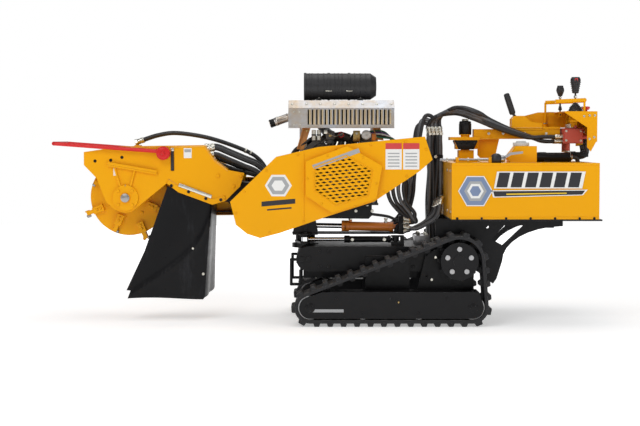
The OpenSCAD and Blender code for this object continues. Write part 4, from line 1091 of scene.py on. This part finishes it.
def riser_hoses():
    """The bundle that climbs from the chassis beside the tank housing."""
    parts = Piece("riser_hoses", "hose_rubber")
    for k in range(12):
        column, row = k % 4, k // 4
        x, y = 240 + 21 * column, 78 + 24 * row
        wave = 7 * sin(k * 2.1)
        parts.pipe([(x, y, 416), (x - 4, y, 520), (x + wave, y + 3, 660), (x + 3, y, 800), (x - wave, y, 940),
                    (x, y, 1030 + 8 * row)], 11.5, rubber(k in (0, 3, 6)))
        parts.rod((x, y, 415), (x, y, 440), 13, "zinc", 6, 2)
    for z in (560, 900):
        parts.box((226, 62, z - 12), (318, 144, z + 12), "black_paint", 4)
        parts.bolt((276, 62, z), (0, -1, 0), 8)
    parts.done("chassis", "hose_column")


def flexing(name, k, line, r, grey, steps, bodies, start, end):
    """A numbered hose that runs between two bodies."""
    parts = Piece(f"{name}_{k + 1}", "hose_rubber")
    parts.hose(line, r, rubber(grey), True, steps)
    parts.bend(*bodies, start, end)


def station_hoses():
    """Hoses from the riser over the pivot to the valve bank."""
    for k in range(8):
        row = k % 5
        y, z = (-68 + 36 * row, 1012) if k < 5 else (-50 + 36 * (k - 5), 988)
        up, out = 11 * (k % 4), -15 * (k % 4)
        x0, y0 = 240 + 21 * (k % 4), 78 + 24 * (k // 4)
        line = [(x0, y0, 1036), (x0 - 4, y0 - 8, 1084 + up), (x0 + 44, 40 + out, 1130 + up),
                (384 + 5 * k, 6 + out, 1142 + up), (470 + 4 * k, -54 + out, 1114 + up),
                (566, -84 + 6 * row, 1074 + up), (680, -88 + 9 * row, 1034 + up * 0.6),
                (780, -82 + 12 * row, 1008 + up * 0.3), (868, y, z), (962, y, z)]
        flexing("station_hose", k, line, 11, k in (1, 2, 6), 7, ("chassis", "station"), (330, 0, 1000),
                (540, 0, 1000))


def turret_hoses():
    """Hoses between chassis and turret: some arch over the riser's top, some lie low on the deck."""
    bodies = "chassis", "turret"
    for k in range(3):
        x0 = 238 + 20 * k
        line = [(x0, 84 + 12 * k, 1030), (x0 - 12, 76, 1086 + 14 * k), (x0 - 66, 66, 1070 + 26 * k),
                (150 + 14 * k, 58, 960), (112 + 22 * k, 52, 800), (106 + 20 * k, 48, 680), (76 + 18 * k, 46, 580),
                (10 + 14 * k, 44, 516), (-80 + 10 * k, 42, 500)]
        flexing("turret_hose", k, line, 11, k == 1, 7, bodies, (210, 0, 700), (20, 0, 700))
    for k in range(4):
        line = [(268 + 8 * k, -40 - 34 * k, 650 + 8 * k), (250 + 6 * k, -50 - 30 * k, 592 - 6 * k),
                (214 - 4 * k, -74 - 14 * k, 548 - 8 * k), (160 - 4 * k, -84 - 8 * k, 514 - 4 * k),
                (88, -72 - 24 * (k % 2), 488 + 24 * (k // 2))]
        flexing("deck_hose", k, line, 10.5, k % 2, 8, bodies, (220, 0, 500), (100, 0, 500))


def pump_hoses():
    """Hoses that drop from the engine deck, turn and reach the turret."""
    block = Piece("turret_bulkhead", "black_paint")
    block.box((58, -112, 474), (84, -58, 574), None, 3)
    block.box((56, -112, 472), (86, -20, 481), None, 2)
    block.done("turret")
    for k in range(4):
        x = -12 + 30 * k
        line = [(94 + 14 * k, -213, 908 + 14 * (k % 2)), (84 + 14 * k, -176, 896), (x + 34, -140, 830),
                (x + 8, -118 + 8 * k, 740), (x + 22, -112 + 6 * k, 664 - 4 * k),
                (x + 66, -108 + 4 * k, 606 - 4 * k), (x + 112 - 14 * k, -96, 566), (138 + 5 * k, -92, 540),
                (88, -72 - 24 * (k % 2), 536 + 22 * (k // 2))]
        flexing("pump_hose", k, line, 11, k == 2, 7, ("boom", "turret"), (60, 0, 800), (60, 0, 560))


deck_details()
boom_hoses()
riser_hoses()
station_hoses()
turret_hoses()
pump_hoses()


# ---------------- operator's station

JOYSTICK = Vector((1024, -150, 1148))
VALVES = range(-68, 77, 36)         # y of the valve bank's five spools


def station_details():
    parts = Piece("station_fittings", "yellow_paint")
    # painted shade: black sheets inside the console, where its yellow inside falls in shade; and the bolts of its
    # plates
    parts.slab([(958, 1146), (1074, 1066), (1126, 1066), (1126, 1144)], -214, 3, "black_paint")
    parts.box((1118, -214, 1068), (1125, 118, 1144), "black_paint", 1)
    parts.bolts([(1090, 1128), (1118, 1128), (1090, 1000), (1116, 1010), (1060, 1124)], -222, 6)
    parts.bolts([(800, 1080), (800, 1116), (900, 1120), (1000, 1130), (1100, 1130)], 126, 6, out=1)
    # black bearing shell under the arm's plate
    shell = [(373, 993), (372, 986), (392, 942), (478, 942), (498, 986), (497, 993)]
    parts.slab(shell, -63.5, 1.4, "black_paint", 0.5)
    parts.slab(shell, 62.1, 1.4, "black_paint", 0.5)
    parts.bolts([(388 + 23.5 * k, 978) for k in range(5)], -63.5, 5, "black_paint")
    for y in (-49, 49):
        parts.weld([(440, y, 1000), (620, y, 1000)], 2.6)
        parts.weld([(700, y, 1062), (860, y, 1062)], 2.6)
    parts.bolts([(x, 1030) for x in (560, 640, 760, 880)], -62, 7)
    # grip tape of the hand guard's cross bar
    parts.tube([(1064, -150, 1212), (1064, 20, 1212)], 12.6, "orange_paint", 20)
    parts.rod((900, 105, 1085), (900, 105, 1091), 14, "zinc", 6)
    # plate under the joystick's boot, with its screws
    x, y, _ = JOYSTICK
    for a, b in circle(x, y, 47, 6, 30):
        parts.bolt((a, b, 1151), (0, 0, 1), 4)
    parts.hoop((x, y, 1152), 43, 30, 3, "black_plastic")
    # labels on the console's top, blank
    parts.box((900, 0, 1150.5), (940, 90, 1151.6), "white_label", 0)
    parts.box((1070, -30, 1150.5), (1120, 30, 1151.6), "dark_label", 0)
    parts.done("station")

    bank = Piece("valve_fittings", "valve_red")
    for y in VALVES:
        bank.lathe((964, y, 1012), (940, y, 1012), [(0, 14), (6, 14), (7, 10), (18, 10), (19, 13), (24, 12)],
                   "zinc", 6)
        bank.rod((1082, y, 1040), (1092, y, 1040), 9, "zinc", 6)
        bank.bolt((1025, y, 1060), (0, 0, 1), 8)
        bank.rod((1012, y, 1060), (1012, y, 1084), 5, "zinc", 16)
        bank.rod((1040, y - 7, 1060), (1040, y - 7, 1076), 8, None, 16, 2)
        bank.rod((1000, y, 936), (1000, y, 926), 13, "zinc", 6, 2)
    for y, out in ((-99, -1), (93, 1)):
        bank.bolts([(x, z) for x in (985, 1065) for z in (992, 1044)], y, 6, out=out)
    bank.done("station")

    # elbows that hang below the valve bank
    hung = Piece("valve_hoses", "hose_rubber")
    hung.box((1018, -84, 900), (1112, 88, 927), "black_paint", 5)
    for y in range(-60, 43, 34):
        hung.pipe([(1088, y, 1006), (1108, y, 996), (1116, y + 2, 960), (1104, y + 2, 928)], 12)
    for k, y in enumerate(VALVES):
        hung.pipe([(1030, y, 930), (1034, y + 2, 908), (1054, y + 6, 898), (1092, y + 4, 906), (1106, y, 930),
                   (1100, y, 968)], 12, rubber(k == 1), 14)
        hung.ring((1033, y + 1, 914), (0.2, 0, -1), 12)
    hung.done("station")


def joystick_grip():
    grip = Piece("joystick_grip", "black_plastic")
    x, y, z = JOYSTICK
    grip.lathe((x, y, z + 102), (x, y, z + 200), [(0, 14), (3, 18), (20, 19.5), (40, 23), (58, 26.5), (68, 28),
               (80, 27), (86, 22), (89, 12)], None, 36)
    for k in range(5):
        grip.hoop((x, y, z + 118 + 11 * k), 20 + 2.2 * k, 24, 1.8, None, 6)
    grip.box((x - 8, y - 27, z + 168), (x + 8, y - 24, z + 184), "red_plastic", 1)
    grip.lathe((x, y, z + 78), (x, y, z + 90), [(0, 9), (1, 10.4), (9, 10.4), (12, 8)], "zinc", 6)
    # folds of the boot
    for k in range(4):
        grip.hoop((x, y, z + 25 + 7 * k), 30 - 6 * k, 24, 3.2, "hose_rubber")
    grip.done("stick")


def other_grips():
    knob = Piece("boom_stick_knob", "black_plastic")
    for z, profile, look, n in (
            (1240, [(0, 8), (3, 11.6), (20, 19), (32, 22.6), (44, 21), (54, 15), (60, 8)], None, 32),
            (1228, [(0, 8), (1, 9.2), (9, 9.2), (10, 8)], "zinc", 6),
            (1162, [(0, 10), (3, 12), (6, 9), (10, 11), (13, 8), (18, 9), (22, 6)], "hose_rubber", 24)):
        knob.lathe((975, 54, z), (975, 54, z + 10), profile, look, n)
    knob.done("boom_control")

    lever = Piece("travel_lever_grip", "black_plastic")
    a, b = Vector((702, 0, 1138)), Vector((664, 0, 1252))
    lever.lathe(a, b, [(0, 12), (3, 15.6), (20, 15.8), (60, 15.4), (100, 16.6), (112, 16.8), (120, 14), (123, 8)],
                None, 28)
    for k in range(7):
        lever.ring(a.lerp(b, 0.12 + 0.11 * k), b - a, 15.2, None)
    for y in (-34, 28):
        lever.rod((737, y, 1105), (737, y + 6, 1105), 9, "zinc", 6)
    lever.done("travel_control")

    button = Piece("stop_button_cap", "red_plastic")
    button.lathe((1100, -60, 1166), (1100, -60, 1182), [(0, 19), (3, 21.5), (9, 22), (13, 20), (15, 14), (16, 6)],
                 None, 36)
    button.done("stop")

    key = Piece("key_bow", "chrome_rod")
    key.slab([(1090, 1160), (1110, 1160), (1114, 1168), (1112, 1180), (1100, 1184), (1088, 1180), (1086, 1168)],
             57.5, 2.6, None, 0.8)
    key.lathe((1100, 60, 1146), (1100, 60, 1154), [(0, 10), (1, 11), (7, 11), (8, 9)], "zinc", 24)
    key.done("key")


def lock_details():
    parts = Piece("lock_rod_fittings", "black_plastic")
    y = -390
    parts.lathe((534, y, 893), (590, y, 893), [(0, 9), (4, 22), (14, 29), (28, 31), (42, 29), (52, 22), (56, 10)],
                None, 32)
    for k in range(4):
        parts.ring((300 + 56 * k, y, 889), (1, 0, 0), 9.5)
    parts.done("lock")


# ---------------- tanks

FILLER = (706, -300)
FILTER_AXIS = (-100, 899)


def tank_details():
    parts = Piece("tank_fittings", "yellow_paint")
    wall = 440
    # folded flanges of the housing
    for s in (-1, 1):
        for x0, z0, x1, z1, proud, bevel in ((321, 573, 1105, 586, 2.4, 0.8), (322, 862, 1104, 873, 3, 1)):
            y0, y1 = sorted((s * (wall + 0.2), s * (wall + proud)))
            parts.box((x0, y0, z0), (x1, y1, z1), None, bevel)
        parts.bolts([(x, 579) for x in (350, 480, 610, 740, 870, 1000, 1078)], s * (wall + 2.6), 6, "black_paint",
                    out=s)
    # louvres on the far side; the near-black strip beside each is painted shade in its opening
    for z in range(640, 801, 20):
        parts.pane(880, z, 1040, z + 5, wall + 0.2, 4, None, 1)
        parts.pane(884, z + 6, 1036, z + 12, wall + 0.1, 0.6, "painted_hole_shade")
    for y in (-380, -200, 200, 380):
        for z in (610, 830):
            parts.bolt((1105, y, z), (1, 0, 0), 8)
            parts.bolt((321, y, z), (-1, 0, 0), 8)
    parts.weld([(626, -362, 874), (783, -362, 874), (785, -238, 874)], 2.4)
    # black sleeve and nut on the station's post
    parts.lathe((435, 0, 1026), (435, 0, 1104), [(0, 34), (2, 35), (58, 35), (60, 33.4), (70, 33.4), (74, 28)],
                "black_paint", 36)
    parts.rod((435, 0, 1100), (435, 0, 1112), 20, "zinc", 6, 2)
    # filler neck ring
    parts.hoop((*FILLER, 963), 38, 30, 2.6, "zinc")
    # breather, sight glass and return line of the hydraulic tank
    parts.lathe((900, 220, 873), (900, 220, 925), [(0, 30), (3, 34), (10, 34), (12, 26), (30, 26), (34, 30),
                (48, 30), (52, 22)], "black_plastic", 32)
    parts.rod((1105, 260, 720), (1112, 260, 720), 22, "zinc", 28, 2)
    # painted shade: a near-black disc inside the sight glass's ring, for the shade in its hollow
    parts.rod((1111, 260, 720), (1114, 260, 720), 15, "painted_hole_shade")
    parts.pipe([(1010, -100, 899), (1032, -100, 899), (1046, -96, 890), (1050, -92, 874)], 12, "hose_rubber", 14)
    parts.ring((1012, *FILTER_AXIS), (1, 0, 0), 14)
    parts.done("chassis")

    filter_can = Piece("return_filter_can", "black_paint")
    filter_can.lathe((788, *FILTER_AXIS), (1010, *FILTER_AXIS), [(0, 17), (3, 22), (6, 27.4), (30, 27.4), (33, 26.3),
                     (180, 26.3), (190, 27.8), (212, 27.8), (216, 24), (222, 20)], None, 40)
    filter_can.tube([(1000, -72.4, 899), (1006, -86, 924), (1006, -114, 924), (1006, -128, 899)], 2, "zinc", 8)
    filter_can.done("chassis")

    cap = Piece("fuel_cap_grip", "grey_plastic")
    for x, y in circle(*FILLER, 42, 24):
        cap.tube([(x, y, 965), (x, y, 981)], 2, None, 6)
    cap.box((680, -306, 982), (732, -294, 990), None, 3)
    cap.done("cap")


def tank_graphic():
    """A plain graphic in place of the lettering: a badge, slanted bars and a thin banner."""
    parts = Piece("tank_graphic", "yellow_paint")
    layers = [(circle(446, 724, r, 6), name) for r, name in ((92, "white"), (86, "blue"), (60, "grey"),
                                                             (44, "white"), (30, "blue"))]
    plates = [(k, outline, name) for k, (outline, name) in enumerate(layers)]
    plates.append((0, [(544, 738), (1012, 738), (1030, 828), (560, 828)], "white"))
    plates += [(1, [(a, 744), (a + 58, 744), (a + 74, 822), (a + 16, 822)], "dark") for a in range(556, 937, 76)]
    plates.append((0, [(540, 690), (1016, 702), (1042, 732), (530, 728)], "white"))
    plates.append((1, [(548, 695), (1012, 706), (1028, 727), (540, 723)], "dark"))
    for layer, outline, name in plates:
        parts.slab(outline, -443.2 - 0.6 * layer, 0.5, name + "_label")
    parts.slab([(610, 704), (930, 710), (930, 716), (610, 711)], -444.4, 0.5, "yellow_bar")
    parts.done("chassis")


# ---------------- cylinders

def cylinder_details():
    tilt = atan2(10, 520)

    def at(d, up=0.0):
        """A point d along the lift cylinder from its base, and up from its axis."""
        return Vector((60 - d * cos(tilt) + up * sin(tilt), -30, 508 + d * sin(tilt) + up * cos(tilt)))

    barrel = Piece("lift_barrel_fittings", "orange_paint")
    for d, r in ((40, 24.6), (288, 26.6), (304, 26.6)):
        barrel.ring(at(d), at(1) - at(0), r, None)
    barrel.weld([at(52, 26), at(60, 26)], 2, None)
    barrel.lathe(at(268, 36), at(268, 60), [(0, 12), (6, 12), (7, 9), (16, 9), (18, 12), (24, 11)], "zinc", 6)
    barrel.lathe(at(70, 22), at(70, 50), [(0, 11), (8, 11), (9, 8), (18, 8), (19, 11), (27, 11)], "zinc", 6)
    barrel.pipe([at(268, 58), at(262, 72), at(230, 76), at(120, 66), at(60, 58), at(20, 44), at(-20, 40)], 8,
                "hose_rubber")
    barrel.done("lift_cylinder")
    wiper = Piece("lift_wiper", "black_plastic")
    wiper.lathe(at(308), at(316), [(0, 19), (1, 20), (6, 18), (8, 15)], None, 28)
    wiper.done("lift_cylinder")
    # painted shade: the swing barrel is black where it lies in shade under the deck, and its rings are black to match
    swing = Piece("swing_barrel_fittings", "black_paint")
    for x in (4, -222, -236):
        swing.ring((x, -143, 448), (1, 0, 0), 17.6, None)
    for x in (-200, -24):
        swing.lathe((x, -158, 448), (x, -160, 448), [(0, 10), (10, 10), (11, 7), (22, 7), (23, 9), (30, 9)], "zinc", 6)
    swing.done("chassis")


station_details()
joystick_grip()
other_grips()
lock_details()
tank_details()
tank_graphic()
cylinder_details()


# ---------------- floor, light and camera

FLOOR_SIZE = 14.0
AIM = Vector((-0.3, 0, 0.6))
# name, place in metres, size in metres, power in watts
LAMPS = (("key", (-2.5, -4.5, 4.2), 2.6, 86), ("fill", (3.8, -4.2, 2.6), 2.4, 34),
         ("top", (0.0, 0.2, 4.8), 3.4, 62), ("back", (1.0, 4.6, 2.6), 3.0, 30))
AMBIENT, IN_REFLECTIONS, IN_VIEW = 0.42, 0.22, 1.0
CAMERA_PLACE, CAMERA_TILT = (-0.378, -7.951, 1.000), 87.01
FOCAL_LENGTH, SENSOR_WIDTH = 79.7, 36


def link(name, data, place=(0, 0, 0)):
    made = bpy.data.objects.new(name, data)
    made.location = place
    SCENE.collection.objects.link(made)
    return made


def stage():
    size, back = FLOOR_SIZE, FLOOR_SIZE * 0.6
    mesh = bpy.data.meshes.new("floor")
    mesh.from_pydata([(-size, -size, 0), (size, -size, 0), (size, back, 0), (-size, back, 0)], [], [(0, 1, 2, 3)])
    pale = Shader("floor_paint")
    colour = pale.mix(pale.noise(0.6), (0.93, 0.93, 0.93, 1), (0.96, 0.96, 0.96, 1))
    # the floor glows more with distance, so it fades into the white background
    far = pale.node("VectorMath", operation="LENGTH")
    pale.feed(far.inputs[0], pale.place)
    pale.surface(Base_Color=colour, Roughness=0.85, Emission_Color=WHITE,
                 Emission_Strength=pale.ramp(far.outputs["Value"], 2.0, 5.5, 0.36, 1.0))
    mesh.materials.append(pale.material)
    link("floor", mesh)

    world = bpy.data.worlds.new("studio")
    world.use_nodes = True
    tree = world.node_tree
    path = tree.nodes.new("ShaderNodeLightPath").outputs
    in_mirrors, seen = tree.nodes.new("ShaderNodeMapRange"), tree.nodes.new("ShaderNodeMapRange")
    in_mirrors.inputs["To Min"].default_value = AMBIENT
    in_mirrors.inputs["To Max"].default_value = IN_REFLECTIONS
    seen.inputs["To Max"].default_value = IN_VIEW
    for start, end in ((path["Is Glossy Ray"], in_mirrors.inputs["Value"]),
                       (path["Is Camera Ray"], seen.inputs["Value"]),
                       (in_mirrors.outputs["Result"], seen.inputs["To Min"]),
                       (seen.outputs["Result"], tree.nodes["Background"].inputs["Strength"])):
        tree.links.new(start, end)
    tree.nodes["Background"].inputs["Color"].default_value = WHITE
    SCENE.world = world
    for name, place, size, power in LAMPS:
        lamp = bpy.data.lights.new(name, "AREA")
        lamp.size = size
        lamp.energy = power
        link(name, lamp, place).rotation_euler = (AIM - Vector(place)).to_track_quat("-Z", "Y").to_euler()

    lens = bpy.data.cameras.new("camera")
    lens.lens, lens.sensor_width = FOCAL_LENGTH, SENSOR_WIDTH
    camera = link("camera", lens, CAMERA_PLACE)
    camera.rotation_euler = (radians(CAMERA_TILT), 0, 0)
    bpy.context.scene.camera = camera
    SCENE.view_settings.view_transform = "Standard"


stage()
